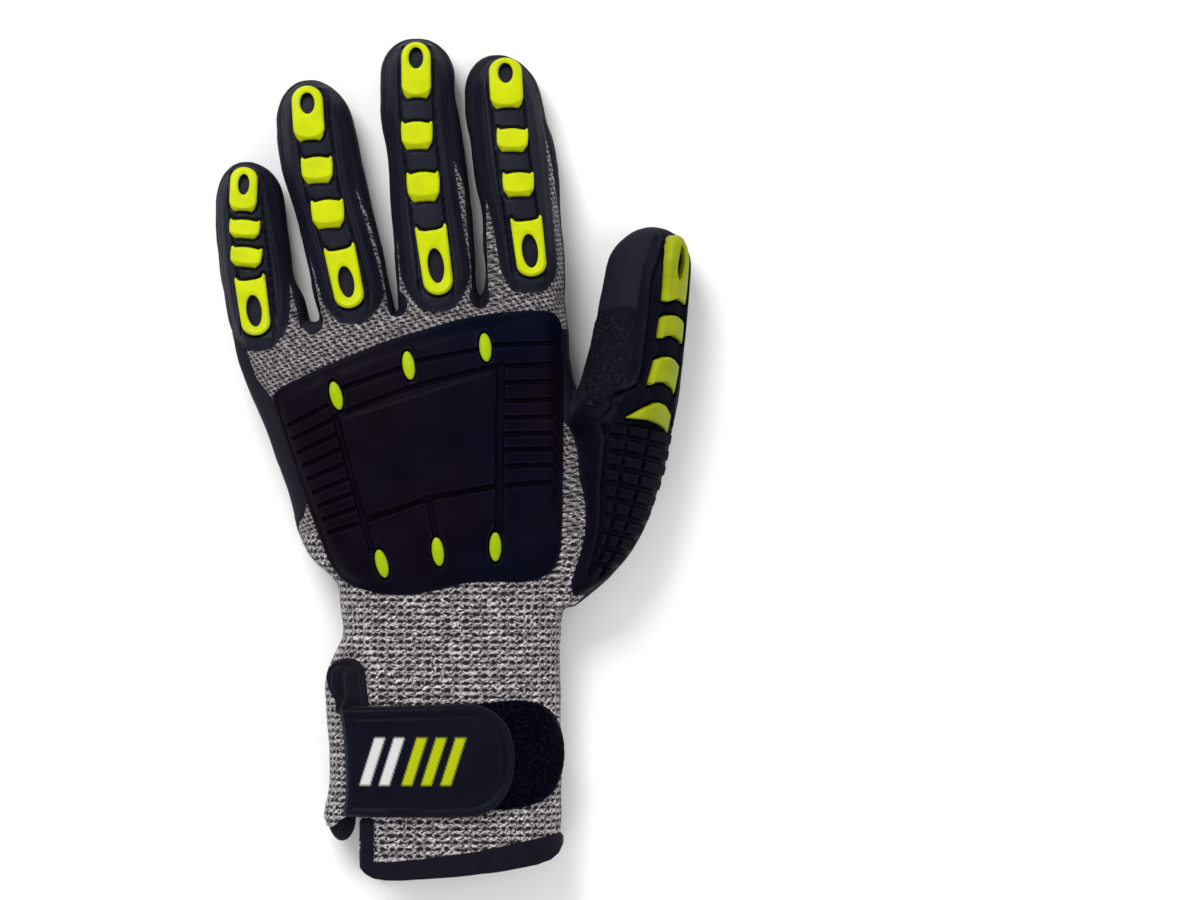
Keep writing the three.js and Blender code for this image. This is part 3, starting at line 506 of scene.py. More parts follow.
for region in (knit_shows, bound, slit, past_mouth):
    settle_edge(form, surface, region(surface))
move_to(form, surface)
open_faces = (face_mean(form, past_mouth(surface)) > 0) & (face_mean(form, slit(surface)) < 0)
tape_faces = face_mean(form, bound(surface)) > 0
knit_faces = face_mean(form, knit_shows(surface)) > 0

# The liner. One marled yarn, of pale and dark plies, is knitted in one piece: fingers, hand and long cuff. Its loops
# stand out as relief on the outside, coarse on the cuff and finer over the knuckles, where they run in an arc.
# Faces that lie inside, on the table or under rubber are left coarse.
LINER = 1.8
CUFF_STITCH = (2.95, 2.14)
KNUCKLE_STITCH = (1.95, 1.42)
STITCH_HEIGHT = 0.34
STITCH_SINK = 0.24
STITCH_SEED = 7
HIDDEN = [(-50, 18), (-30, 28), (-8, 36), (12, 41), (29, 41), (31, -22), (28, -33), (4, -34.5), (-16, -38),
          (-30, -35), (-36, -26), (-45, -4)]
STRAP_HIDES = [(-34, -79), (14, -79), (30, -81), (30, -103), (12, -108), (-34, -108)]


def select_faces(piece, chosen):
    """Selects only the chosen faces of a piece."""
    pick(piece)
    piece.data.vertices.foreach_set("select", np.zeros(len(piece.data.vertices), bool))
    piece.data.edges.foreach_set("select", np.zeros(len(piece.data.edges), bool))
    piece.data.polygons.foreach_set("select", chosen)


def keep_faces(piece, keep):
    """Cuts away all the faces of a piece but those to keep."""
    select_faces(piece, ~keep)
    bpy.ops.object.mode_set(mode="EDIT")
    bpy.ops.mesh.delete(type="FACE")
    bpy.ops.object.mode_set(mode="OBJECT")


def tidy_cut(piece, least=80):
    """Joins doubled points after a cut and drops slivers and loose crumbs."""
    pick(piece)
    bpy.ops.object.mode_set(mode="EDIT")
    bpy.ops.mesh.select_all(action="SELECT")
    bpy.ops.mesh.remove_doubles(threshold=0.08 * MM)
    bpy.ops.mesh.dissolve_degenerate(threshold=0.04 * MM)
    bpy.ops.object.mode_set(mode="OBJECT")
    made = bmesh.new()
    made.from_mesh(piece.data)
    left = set(made.faces)
    crumbs = []
    while left:
        island = [left.pop()]
        for face in island:
            for edge in face.edges:
                near = [f for f in edge.link_faces if f in left]
                left.difference_update(near)
                island.extend(near)
        if len(island) < least:
            crumbs.extend(island)
    bmesh.ops.delete(made, geom=crumbs, context="FACES")
    made.to_mesh(piece.data)
    made.free()


def copy_of(piece, name):
    """A second piece with a mesh of its own."""
    made = piece.copy()
    made.data = piece.data.copy()
    made.name = name
    bpy.context.collection.objects.link(made)
    return made


def shade(piece, degrees):
    """Shades a piece smoothly, but for edges sharper than the given angle."""
    pick(piece)
    bpy.ops.object.shade_smooth_by_angle(angle=math.radians(degrees))


def cloth_layer(name, faces, raised, thickness):
    """One layer of the form's surface as a wall of cloth, raised a little by the given function."""
    piece = copy_of(form, name)
    keep_faces(piece, faces)
    tidy_cut(piece)
    co = positions(piece)
    normal = np.array([v.normal for v in piece.data.vertices])
    co += normal * raised(co)[:, None]
    co[:, 2] = np.maximum(co[:, 2], 0)
    move_to(piece, co)
    apply(piece, "SOLIDIFY", thickness=thickness * MM, offset=-1, use_rim=True)
    shade(piece, 50)
    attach(piece, "root")
    return piece


liner = cloth_layer("knit_liner", open_faces & knit_faces & ~tape_faces, lambda co: 0 * co[:, 0], LINER)
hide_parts("knit_back", "cuff_knit", "index_knit", "middle_knit", "ring_knit", "pinky_knit")


def thin_out(piece, chosen, ratio):
    """Leaves fewer faces where a piece doesn't show."""
    select_faces(piece, chosen)
    bpy.ops.object.mode_set(mode="EDIT")
    bpy.ops.mesh.decimate(ratio=ratio)
    bpy.ops.object.mode_set(mode="OBJECT")


def inner_side(piece):
    """Which faces of a wall lie on its inner side, away from the form's surface, and the middles of all."""
    centres = np.array([p.center for p in piece.data.polygons]) / MM
    away = np.array([cloth_surface.find_nearest(Vector(c))[3] for c in centres])
    return away > 0.7, centres


def out_of_sight(centres):
    """Which of the liner's faces lie on the table, or under the plate or the strap."""
    x, y, z = centres.T
    covered = (inside_by(x, y, HIDDEN) > 0) | (inside_by(x, y, STRAP_HIDES) > 0)
    return (covered & (z > HALFWAY)) | (z < 1.5)


def stitch_place(co):
    """Where a point lies in the knit: wales round the cuff, courses up it and in an arc over the knuckles."""
    x, y, z = co.T
    table = np.array(HAND)
    left = read_curve(-table[:, 0], table[:, 2], np.clip(-y, -41, 118))
    right = read_curve(-table[:, 1], table[:, 3], np.clip(-y, -41, 112))
    high = read_curve(-table[:, 0], table[:, 5], np.clip(-y, -41, 118))
    side = np.clip((x - (left + right) / 2) / ((right - left) / 2), -1, 1)
    round_cuff = x + 0.9 * side * (high - z)
    on_cuff = ramp(-y, 12, 34)
    arc = (y - 0.30 * x + 0.0012 * x**2) * 0.96
    u = np.where(on_cuff > 0.5, round_cuff / CUFF_STITCH[0], -round_cuff / KNUCKLE_STITCH[0])
    v = np.where(on_cuff > 0.5, y / CUFF_STITCH[1], arc / KNUCKLE_STITCH[1])
    loose = np.array([noise.noise_vector(Vector((a * 0.9, b * 0.9, 0.3))) for a, b in zip(u, v)])
    fine = np.array([noise.noise_vector(Vector((a * 2.3, b * 2.3, 7.1))) for a, b in zip(u, v)])
    return u + 0.24 * loose[:, 0] + 0.22 * fine[:, 0], v + 0.20 * loose[:, 1] + 0.20 * fine[:, 1], 1 - on_cuff


def strand_rise(u, v, lean):
    """1 on a strand of the knit and 0 in the hole between strands."""
    along = v - np.floor(v) - 0.5
    across = u + 0.5 * np.floor(v) * (lean > 0.5)
    across = across - np.floor(across) - 0.5
    tipped = along - across * 0.55 * lean
    reach = np.sqrt((across / 0.36)**2 + (tipped / 0.30)**2)
    return ramp(reach, 0.62, 1.15)


def stitch_map(piece):
    """Stores each point's place in the knit, for the yarn's material."""
    u, v, lean = stitch_place(positions(piece))
    layer = piece.data.uv_layers.new(name="stitches")
    loops = np.empty(len(piece.data.loops), int)
    piece.data.loops.foreach_get("vertex_index", loops)
    layer.data.foreach_set("uv", np.column_stack([u[loops], v[loops]]).ravel())
    tilt = piece.data.attributes.new("lean", "FLOAT", "POINT")
    tilt.data.foreach_set("value", lean)
    return u, v, lean


# Blender's noise starts from the clock, so it is given a seed here: each run knits the same uneven stitches.
noise.seed_set(STITCH_SEED)
thin_out(liner, inner_side(liner)[0], 0.09)
inner, centres = inner_side(liner)
thin_out(liner, out_of_sight(centres) & ~inner, 0.2)
inner, centres = inner_side(liner)
faces_up = np.array([p.normal.z for p in liner.data.polygons]) > -0.35
select_faces(liner, ~inner & ~out_of_sight(centres) & faces_up)
bpy.ops.object.mode_set(mode="EDIT")
bpy.ops.mesh.subdivide(number_cuts=1)
bpy.ops.object.mode_set(mode="OBJECT")
outer = np.array([cloth_surface.find_nearest(v.co / MM)[3] for v in liner.data.vertices]) < 0.4
u, v, lean = stitch_map(liner)
cloth = positions(liner)
normal = np.array([v.normal for v in liner.data.vertices])
rise = (STITCH_HEIGHT * strand_rise(u, v, lean) - STITCH_SINK) * ramp(knit_shows(cloth), 0, 1.4)
cloth += normal * (rise * outer)[:, None]
cloth[:, 2] = np.maximum(cloth[:, 2], 0)
move_to(liner, cloth)
apply(liner, "DECIMATE", ratio=0.8)
shade(liner, 60)


def sum_of(made, operation, a, b=0.0, c=0.0):
    """One arithmetic step between node outputs or numbers."""
    node = add(made, "ShaderNodeMath", {0: a, 1: b, 2: c}, operation=operation)
    return node.outputs[0]


def blend_of(made, share, first, second):
    """A colour between two, by a share from 0 to 1."""
    node = add(made, "ShaderNodeMix", {0: share, 6: first, 7: second}, data_type="RGBA")
    return node.outputs[2]


def spread(made, value, low, high, least=0.0, most=1.0, **settings):
    """A value whose range from low to high is drawn out to run from least to most."""
    node = add(made, "ShaderNodeMapRange", {0: value, 1: low, 2: high, 3: least, 4: most}, **settings)
    return node.outputs[0]


def speckle(made, place, scale, detail, **inputs):
    """Noise of a given scale over a piece, from 0 to 1."""
    node = add(made, "ShaderNodeTexNoise", {"Vector": place, "Scale": scale, "Detail": detail, **inputs})
    return node.outputs["Fac"]


def emboss(made, strength, depth, height):
    """Joins a fine relief to a material, its depth in millimetres."""
    bump = add(made, "ShaderNodeBump", {"Strength": strength, "Distance": depth * MM, "Height": height})
    join(made, bump.outputs[0], "Normal")


def own_place(made):
    """The place on the piece itself, for patterns that stay with it."""
    return add(made, "ShaderNodeTexCoord").outputs["Object"]


def knit_finish():
    """Marled yarn: pale and dark strands twisted together, in loops, with painted shade in the holes between them."""
    made = new_finish("marled_knit", Roughness=0.92, Sheen_Weight=0.12, Sheen_Roughness=0.5,
                      Specular_IOR_Level=0.25)
    place = add(made, "ShaderNodeUVMap", uv_map="stitches")
    axes = add(made, "ShaderNodeSeparateXYZ", {0: place.outputs[0]})
    u, v = axes.outputs[0], axes.outputs[1]
    lean = add(made, "ShaderNodeAttribute", attribute_name="lean").outputs["Fac"]
    knuckles = sum_of(made, "GREATER_THAN", lean, 0.5)
    u = sum_of(made, "MULTIPLY_ADD", sum_of(made, "MULTIPLY", sum_of(made, "FLOOR", v), 0.5), knuckles, u)
    tilt = sum_of(made, "MULTIPLY", lean, 0.55)

    def hole(shift_u, shift_v, half_u, half_v, slant):
        """How far a point is from the middle of the nearest hole, 1 at its rim."""
        across = sum_of(made, "SUBTRACT", sum_of(made, "FRACT", sum_of(made, "ADD", u, shift_u)), 0.5)
        along = sum_of(made, "SUBTRACT", sum_of(made, "FRACT", sum_of(made, "ADD", v, shift_v)), 0.5)
        tipped = sum_of(made, "SUBTRACT", along, sum_of(made, "MULTIPLY", across, slant))
        wide = sum_of(made, "POWER", sum_of(made, "ABSOLUTE", sum_of(made, "DIVIDE", across, half_u)), 2.0)
        tall = sum_of(made, "POWER", sum_of(made, "ABSOLUTE", sum_of(made, "DIVIDE", tipped, half_v)), 2.0)
        return sum_of(made, "SQRT", sum_of(made, "ADD", wide, tall))

    strand = spread(made, hole(0.0, 0.0, 0.39, 0.33, tilt), 0.62, 1.2, interpolation_type="SMOOTHSTEP")
    # Smaller slits lie between the loops of neighbouring wales, leaning either way and not at every loop; they are
    # painted near black as shade too.
    patchy = speckle(made, place.outputs[0], 1.3, 1.0)
    for shift_u, shift_v, slant, low, high in ((0.5, 0.5, 0.8, 0.38, 0.52), (0.5, 0.05, -0.9, 0.62, 0.48)):
        slit_rim = spread(made, hole(shift_u, shift_v, 0.22, 0.17, slant), 0.5, 1.3, interpolation_type="SMOOTHSTEP")
        closed = sum_of(made, "SUBTRACT", 1.0, spread(made, patchy, low, high))
        strand = sum_of(made, "MULTIPLY", strand, sum_of(made, "MAXIMUM", slit_rim, closed))
    # The plies of the yarn: short pale and dark flecks that run with each strand.
    run = add(made, "ShaderNodeMapping", {0: place.outputs[0], 3: (2.6, 4.4, 1)})
    twist = speckle(made, run.outputs[0], 1.0, 3.0, Roughness=0.75, Distortion=1.7)
    glint = spread(made, twist, 0.42, 0.58, interpolation_type="SMOOTHSTEP")
    dark_ply = spread(made, speckle(made, place.outputs[0], 0.8, 2.0), 0.36, 0.62, 0.48, 0.98)
    yarn = blend_of(made, glint, (0.040, 0.032, 0.037, 1), (0.80, 0.745, 0.77, 1))
    shade_here = sum_of(made, "MULTIPLY", strand, dark_ply)
    deeper = sum_of(made, "MULTIPLY", shade_here, sum_of(made, "MULTIPLY_ADD", lean, -0.36, 1.0))
    # In the holes and slits the colour goes to near black, a painted shade; over the knuckles the yarn is drawn
    # further towards that black.
    join(made, blend_of(made, deeper, (0.006, 0.004, 0.006, 1), yarn), "Base Color")
    emboss(made, 0.7, 0.35, sum_of(made, "MULTIPLY_ADD", twist, 0.6, strand))
    return made


liner.data.materials.append(knit_finish())

# The dip. The palm, the sides, undersides and tips of the fingers and the whole thumb are dipped in black nitrile
# with a sandy finish. It soaks into the knit, so its wall is a little thicker, and it stands proud just inside its
# edge.
DIP_WALL = 2.1
DIP_RISE = 0.3
DIP_BLACKS = ((0.0044, 0.0032, 0.0078, 1), (0.0075, 0.0064, 0.0140, 1))
dipped = cloth_layer("nitrile_dip", open_faces & ~knit_faces & ~tape_faces,
                     lambda co: DIP_RISE * ramp(-knit_shows(co), 0, 0.9), DIP_WALL)
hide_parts("coated_palm", "index_coating", "middle_coating", "ring_coating", "pinky_coating")
thin_out(dipped, inner_side(dipped)[0], 0.12)
inner, centres = inner_side(dipped)
thin_out(dipped, ~inner & (centres[:, 2] < 0.3), 0.3)
shade(dipped, 50)
dip_finish = new_finish("sandy_nitrile", Roughness=0.72, Specular_IOR_Level=0.1)
spot = own_place(dip_finish)
cloud = speckle(dip_finish, spot, 45.0, 3.0)
join(dip_finish, blend_of(dip_finish, spread(dip_finish, cloud, 0.3, 0.7), *DIP_BLACKS), "Base Color")
join(dip_finish, spread(dip_finish, cloud, 0.3, 0.7, 0.62, 0.82), "Roughness")
emboss(dip_finish, 0.35, 0.12, speckle(dip_finish, spot, 1700.0, 3.0, Roughness=0.7))
dipped.data.materials.append(dip_finish)

# The four finger guards. Each is a strip of black thermoplastic rubber, moulded with a thin flange, fluted shoulders
# and a channel down the middle with a block between every two green pads. It is bonded from the knuckle over the
# fingertip, so it is laid here on a map of the cloth's height, seen from above.
GUARD_EDGES = {
    # y, left, right
    "index": [(51.5, 19.4, 28), (54.2, 17.2, 30.6), (58.3, 15, 32.2), (70.7, 12.8, 31.4), (83.1, 10, 30.2),
              (95.5, 8, 29), (107.9, 6.9, 27.4), (115.6, 6.8, 25.2), (120.6, 9.2, 22.6), (123.6, 12.6, 19.4)],
    "middle": [(45.6, -8.4, -1.2), (48.8, -12, 2.4), (53.6, -14.8, 4.6), (58.3, -16.1, 5.4), (72.2, -17.5, 3.2),
               (84.3, -18.4, 1.4), (95.5, -19.4, -0.2), (107.9, -20.3, -1.5), (120.3, -20.6, -1.8),
               (125, -19, -3.3), (128.3, -16, -6.4), (129.6, -13, -9.4)],
    "ring": [(41.9, -34.2, -27.4), (45.3, -37.8, -24), (49, -40.2, -21.8), (53, -41.3, -21.6),
             (69.4, -46.2, -25.9), (82.5, -50.2, -29.8), (95.5, -52.2, -31.9), (104.8, -53, -33.4),
             (111, -52.3, -34.8), (114.7, -49.4, -37.8), (116.6, -46.4, -41)],
    "pinky": [(33.6, -63.6, -56.6), (36.6, -66.4, -53.6), (41.2, -69, -50.9), (52, -71, -50.4), (64.5, -72.3, -52.2),
              (73.8, -73, -54), (81.5, -73, -55.5), (86.2, -71.2, -57.3), (89.3, -68.4, -60.4),
              (90.9, -65.8, -63.2)],
}
GUARD_CELL = 0.36
FLANGE = 0.9
SHOULDER = 2.9
FLUTES = [
    # in from the edge, half width, depth
    (3.0, 0.34, 0.28), (4.5, 0.3, 0.2)]
CHANNEL_HALF = 5.9
CHANNEL_FLOOR = 1.5
BLOCK_HALF = 5.2
BLOCK_TOP = 2.9
LEAST_COVER = 0.45
MAP_X = np.arange(-84, 84.5, 1.0)
MAP_Y = np.arange(-138, 138.5, 1.0)


def cloth_map(roll):
    """Heights of the cloth over a plan that is rolled about the glove's length, with their two slopes."""
    down = Vector((-math.sin(roll), 0, -math.cos(roll)))
    across = Vector((math.cos(roll), 0, -math.sin(roll)))
    height = np.full((len(MAP_Y), len(MAP_X)), np.nan)
    for i, y in enumerate(MAP_Y):
        for j, u in enumerate(MAP_X):
            start = across * float(u) + Vector((0, float(y), 0)) - down * 120
            hit = cloth_surface.ray_cast(start, down)
            if hit[0] is not None:
                height[i, j] = 120 - hit[3]
    while np.isnan(height).any():
        known = ~np.isnan(height)
        padded = np.pad(np.where(known, height, 0), 1)
        weight = np.pad(known.astype(float), 1)
        around = [(slice(i, i + len(MAP_Y)), slice(j, j + len(MAP_X))) for i in range(3) for j in range(3)]
        total = sum(padded[place] for place in around)
        count = sum(weight[place] for place in around)
        fill = (~known) & (count > 0)
        height[fill] = total[fill] / count[fill]
    for _ in range(2):
        padded = np.pad(height, 1, mode="edge")
        height = (padded[:-2, 1:-1] + padded[2:, 1:-1] + 2 * padded[1:-1, 1:-1]) / 4
        padded = np.pad(height, 1, mode="edge")
        height = (padded[1:-1, :-2] + padded[1:-1, 2:] + 2 * padded[1:-1, 1:-1]) / 4
    slope_y, slope_x = np.gradient(height)
    return height, np.clip(slope_x, -1.5, 1.5), np.clip(slope_y, -1.5, 1.5)


def read_map(grid, x, y):
    """A map read smoothly between its points."""
    gx = np.clip(x - MAP_X[0], 1, len(MAP_X) - 3)
    gy = np.clip(y - MAP_Y[0], 1, len(MAP_Y) - 3)
    ix, iy = gx.astype(int), gy.astype(int)
    fx, fy = gx - ix, gy - iy

    def weights(f):
        return ((1 - f)**3 / 6, (3 * f**3 - 6 * f**2 + 4) / 6, (-3 * f**3 + 3 * f**2 + 3 * f + 1) / 6, f**3 / 6)

    return sum(wy * wx * grid[iy + j - 1, ix + i - 1]
               for j, wy in enumerate(weights(fy)) for i, wx in enumerate(weights(fx)))


def lay_on(maps, roll, x, y, h):
    """Points at plan places and at heights above the cloth, the height measured square to it."""
    foot_x, foot_y = x, y
    for _ in range(5):
        level, slope_x, slope_y = (read_map(grid, foot_x, foot_y) for grid in maps)
        length = np.sqrt(slope_x**2 + slope_y**2 + 1)
        foot_x = 0.4 * foot_x + 0.6 * (x + slope_x / length * h)
        foot_y = 0.4 * foot_y + 0.6 * (y + slope_y / length * h)
    w = level + h / length
    return np.column_stack([x * math.cos(roll) + w * math.sin(roll), y, -x * math.sin(roll) + w * math.cos(roll)])


hand_map = cloth_map(0.0)


def on_hand(x, y, h):
    return lay_on(hand_map, 0.0, x, y, h)


def smooth_outline(points, step=0.8):
    """A closed outline drawn as a smooth curve through its points."""
    p = np.asarray(points, float)
    result = []
    for k in range(len(p)):
        a, b, c, d = p[k - 1], p[k], p[(k + 1) % len(p)], p[(k + 2) % len(p)]
        count = max(2, int(np.hypot(*(c - b)) / step))
        t = np.linspace(0, 1, count, endpoint=False)[:, None]
        result.append(0.5 * (2 * b + (c - a) * t + (2 * a - 5 * b + 4 * c - d) * t**2
                             + (3 * b - a - 3 * c + d) * t**3))
    return np.vstack(result)


def rounded_outline(points, radius):
    """A closed outline whose corners are rounded; radius is one number or one for each corner."""
    p = np.asarray(points, float)
    radius = np.broadcast_to(radius, len(p))
    result = []
    for k in range(len(p)):
        before, corner, after = p[k - 1], p[k], p[(k + 1) % len(p)]
        back, on = before - corner, after - corner
        cut = min(radius[k], np.hypot(*back) * 0.48, np.hypot(*on) * 0.48)
        start = corner + back / np.hypot(*back) * cut
        end = corner + on / np.hypot(*on) * cut
        t = np.linspace(0, 1, 7)[:, None]
        result.append((1 - t)**2 * start + 2 * t * (1 - t) * corner + t**2 * end)
    return np.vstack(result)


def press(name, edge, box, cell, height, lay, underside=0.0):
    """Moulds a piece: a sheet cut where edge(x, y) is over 0, raised to height(x, y), laid on the cloth.

    The sheet is a grid over the box, and its vertices next to the edge are drawn onto it before the cut.
    """
    x0, x1, y0, y1 = box
    across, along = int((x1 - x0) / cell) + 1, int((y1 - y0) / cell) + 1
    bpy.ops.object.select_all(action="DESELECT")
    bpy.ops.mesh.primitive_grid_add(x_subdivisions=across, y_subdivisions=along, size=1)
    piece = bpy.context.object
    piece.name = name
    bpy.ops.object.mode_set(mode="EDIT")
    bpy.ops.mesh.quads_convert_to_tris(quad_method="FIXED_ALTERNATE")
    bpy.ops.object.mode_set(mode="OBJECT")
    flat = positions(piece) * MM
    flat[:, 0] = x0 + (flat[:, 0] + 0.5) * (x1 - x0)
    flat[:, 1] = y0 + (flat[:, 1] + 0.5) * (y1 - y0)
    flat[:, 2] = 0
    settle_edge(piece, flat, edge(flat[:, 0], flat[:, 1]))
    move_to(piece, flat)
    keep_faces(piece, face_mean(piece, edge(flat[:, 0], flat[:, 1])) > 0)
    bpy.ops.object.mode_set(mode="EDIT")
    bpy.ops.mesh.select_all(action="SELECT")
    bpy.ops.mesh.extrude_region_move()
    bpy.ops.object.mode_set(mode="OBJECT")
    upper = np.empty(len(piece.data.vertices), bool)
    piece.data.vertices.foreach_get("select", upper)
    flat = positions(piece)
    x, y = flat[:, 0], flat[:, 1]
    laid = lay(x, y, np.where(upper, height(x, y), underside))
    for k in np.flatnonzero(upper):
        foot, out = cloth_surface.find_nearest(Vector(laid[k]))[:2]
        laid[k] += np.array(out) * max(0, LEAST_COVER - (Vector(laid[k]) - foot).dot(out))
    laid[:, 2] = np.maximum(laid[:, 2], 0)
    move_to(piece, laid)
    pick(piece)
    bpy.ops.object.mode_set(mode="EDIT")
    bpy.ops.mesh.select_all(action="SELECT")
    bpy.ops.mesh.normals_make_consistent(inside=False)
    bpy.ops.object.mode_set(mode="OBJECT")
    thin_out(piece, face_mean(piece, upper.astype(float)) == 0, 0.1)
    shade(piece, 42)
    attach(piece, "root")
    return piece


def box_of(outline, margin=1.0):
    """The plan box of an outline, with a margin."""
    x, y = np.asarray(outline).T
    return x.min() - margin, x.max() + margin, y.min() - margin, y.max() + margin


def pad_shape(kind):
    """Outline of a green pad, 2 wide and 2 long about its middle: a tip pad, a bar or a base pad."""
    if kind == "tip":
        arc = [(math.cos(a), 0.46 + 0.54 * math.sin(a)) for a in np.linspace(0, math.pi, 17)]
        return arc + [(-1, -0.58), (-0.86, -0.84), (-0.66, -1), (-0.3, -0.94), (0.3, -0.94), (0.66, -1),
                      (0.86, -0.84), (1, -0.58)]
    if kind == "bar":
        return [(1, 0.86), (0.94, 1), (0.80, 0.80), (0.5, 0.87), (0.2, 0.93), (-0.2, 0.93), (-0.5, 0.87),
                (-0.80, 0.80), (-0.94, 1), (-1, 0.86), (-1.02, 0.3), (-0.97, -0.42), (-0.66, -1), (-0.3, -0.95),
                (0.3, -0.95), (0.66, -1), (0.97, -0.42), (1.02, 0.3)]
    arc = [(math.cos(a), -0.58 + 0.42 * math.sin(a)) for a in np.linspace(-math.pi, 0, 17)]
    return arc + [(1.06, 0.9), (0.98, 1), (0.80, 0.86), (0.4, 0.82), (-0.4, 0.82), (-0.80, 0.86), (-0.98, 1),
                  (-1.06, 0.9)]


PADS = {
    # kind, middle x and y, half width, half length, degrees, hole: place along, half width, half length
    "index_tip_pad": ("tip", 16.6, 116.1, 5.1, 8.0, 3, (3.2, 2.3, 3.2)),
    "index_upper_bar": ("bar", 18.6, 98.4, 4.8, 3.8, -1, None),
    "index_lower_bar": ("bar", 20.5, 84.6, 4.8, 3.9, 2, None),
    "index_base_pad": ("base", 23.9, 65.5, 4.6, 9.4, 7, (-1.5, 2.5, 5.3)),
    "middle_tip_pad": ("tip", -11.2, 120.0, 4.5, 8.9, 1, (3.9, 2.3, 3.4)),
    "middle_upper_bar": ("bar", -10.9, 99.8, 4.8, 4.5, 1, None),
    "middle_lower_bar": ("bar", -8.9, 83.9, 5.0, 4.8, 3, None),
    "middle_base_pad": ("base", -5.2, 61.3, 4.6, 11, 8, (-1.9, 2.5, 5.5)),
    "ring_tip_pad": ("tip", -44.7, 106.7, 4.8, 8.7, 4, (3.2, 2.3, 3.4)),
    "ring_upper_bar": ("bar", -41.8, 89.1, 4.8, 4.3, 3, None),
    "ring_lower_bar": ("bar", -38.4, 75.5, 5.0, 4.6, 4, None),
    "ring_base_pad": ("base", -33.0, 56.2, 4.6, 10, 12, (-1.8, 2.4, 5.0)),
    "pinky_tip_pad": ("tip", -64.7, 83.2, 4.2, 7.0, -2, (1.6, 1.8, 3.3)),
    "pinky_upper_bar": ("bar", -64.3, 70.9, 4.7, 3.0, -4, None),
    "pinky_lower_bar": ("bar", -63.8, 62.2, 4.8, 3.2, -6, None),
    "pinky_base_pad": ("base", -61.4, 47.3, 4.5, 9.4, 8, (-1.8, 2.4, 5.0)),
}


def turned(x, y, middle_x, middle_y, degrees):
    """Plan points in the directions of a small piece that lies turned: across it and along it."""
    turn = math.radians(degrees)
    dx, dy = x - middle_x, y - middle_y
    return dx * math.cos(turn) + dy * math.sin(turn), -dx * math.sin(turn) + dy * math.cos(turn)


def pad_frame(pad, x, y):
    """Plan points in a pad's own directions."""
    _, middle_x, middle_y, _, _, degrees, _ = pad
    return turned(x, y, middle_x, middle_y, degrees)


def pad_outline(pad):
    """A pad's outline at its size, in its own directions."""
    kind, _, _, half, reach, _, _ = pad
    shape = np.array(pad_shape(kind)) * (half, reach)
    return rounded_outline(shape, 0.35)


def ridge(away, half):
    """1 on a line and fading to 0 beside it, over about the given half width."""
    return np.exp(-(away / half)**2)


# The grey of the painted highlight on the black rubbers' sharp edges.
EDGE_HIGHLIGHT_GREY = (0.013, 0.0145, 0.024, 1)


def moulded_rubber(name, deep, pale, gloss):
    """Black moulded rubber: a dull skin with a faint mould grain, and a grey highlight painted on its sharp edges."""
    made = new_finish(name, Specular_IOR_Level=gloss)
    spot = own_place(made)
    cloud = speckle(made, spot, 70.0, 4.0)
    # Sharp convex edges are blended towards grey: a painted highlight along the edges.
    painted_edge_highlight = spread(made, add(made, "ShaderNodeNewGeometry").outputs["Pointiness"], 0.52, 0.62, 0.0, 0.55)
    base = blend_of(made, spread(made, cloud, 0.35, 0.7), deep, pale)
    join(made, blend_of(made, painted_edge_highlight, base, EDGE_HIGHLIGHT_GREY), "Base Color")
    join(made, spread(made, cloud, 0.3, 0.7, 0.44, 0.56), "Roughness")
    emboss(made, 0.12, 0.05, speckle(made, spot, 2600.0, 2.0))
    return made


black_rubber = moulded_rubber("guard_rubber", (0.0058, 0.0060, 0.0125, 1), (0.0084, 0.0088, 0.0175, 1), 0.10)
for finger, rows in GUARD_EDGES.items():
    outline = smooth_outline(strip(rows))
    mine = {name: pad for name, pad in PADS.items() if name.startswith(finger)}
    shapes = {name: pad_outline(pad) for name, pad in mine.items()}

    def guard_edge(x, y):
        return inside_by(x, y, outline)

    def guard_height(x, y):
        d = inside_by(x, y, outline)
        table = np.array(rows)
        middle = read_curve(table[:, 0], (table[:, 1] + table[:, 2]) / 2, y)
        side = np.abs(x - middle)
        h = FLANGE * (0.55 + 0.45 * ramp(d, 0, 0.5)) + (SHOULDER - FLANGE) * np.sqrt(ramp(d, 0.8, 4.4))
        flutes = sum(deep * ridge(d - inset, half) for inset, half, deep in FLUTES)
        wrist_end, tip_end = rows[0][0], rows[-1][0]
        h -= flutes * ramp(y, wrist_end + 7, wrist_end + 12) * ramp(-y, 10 - tip_end, 15 - tip_end)
        ends = ramp(y, wrist_end + 2.6, wrist_end + 3.6) * ramp(tip_end - y, 1.0, 1.8)
        channel = ramp(CHANNEL_HALF - side, 0, 0.7) * ends
        pads = np.full(len(x), -99.0)
        for name, pad in mine.items():
            pads = np.maximum(pads, inside_by(*pad_frame(pad, x, y), shapes[name]))
        block = ramp(-pads, 0.55, 1.15) * ramp(BLOCK_HALF - side, 0, 0.8)
        block *= 0.75 + 0.25 * ramp(BLOCK_HALF - side, 0.8, 3)
        inner = CHANNEL_FLOOR + (BLOCK_TOP - CHANNEL_FLOOR) * block
        return h * (1 - channel) + inner * channel

    guard = press("moulded_" + finger + "_guard", guard_edge, box_of(outline), GUARD_CELL, guard_height, on_hand)
    guard.data.materials.append(black_rubber)
    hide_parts(finger + "_guard")

# The green pads in the guards. A bright rubber is poured into the mould first, four pads to a finger, and the black
# guard is moulded round it. Tip and base pads have an oval window, and the bars have two small horns and a bevel
# towards the wrist.
PAD_CELL = 0.32
PAD_TOP = 4.2
PAD_UNDERSIDE = 1.1
PAD_RIM = 0.55
PAD_BEVEL = 2.3
NO_WINDOW = -9.0


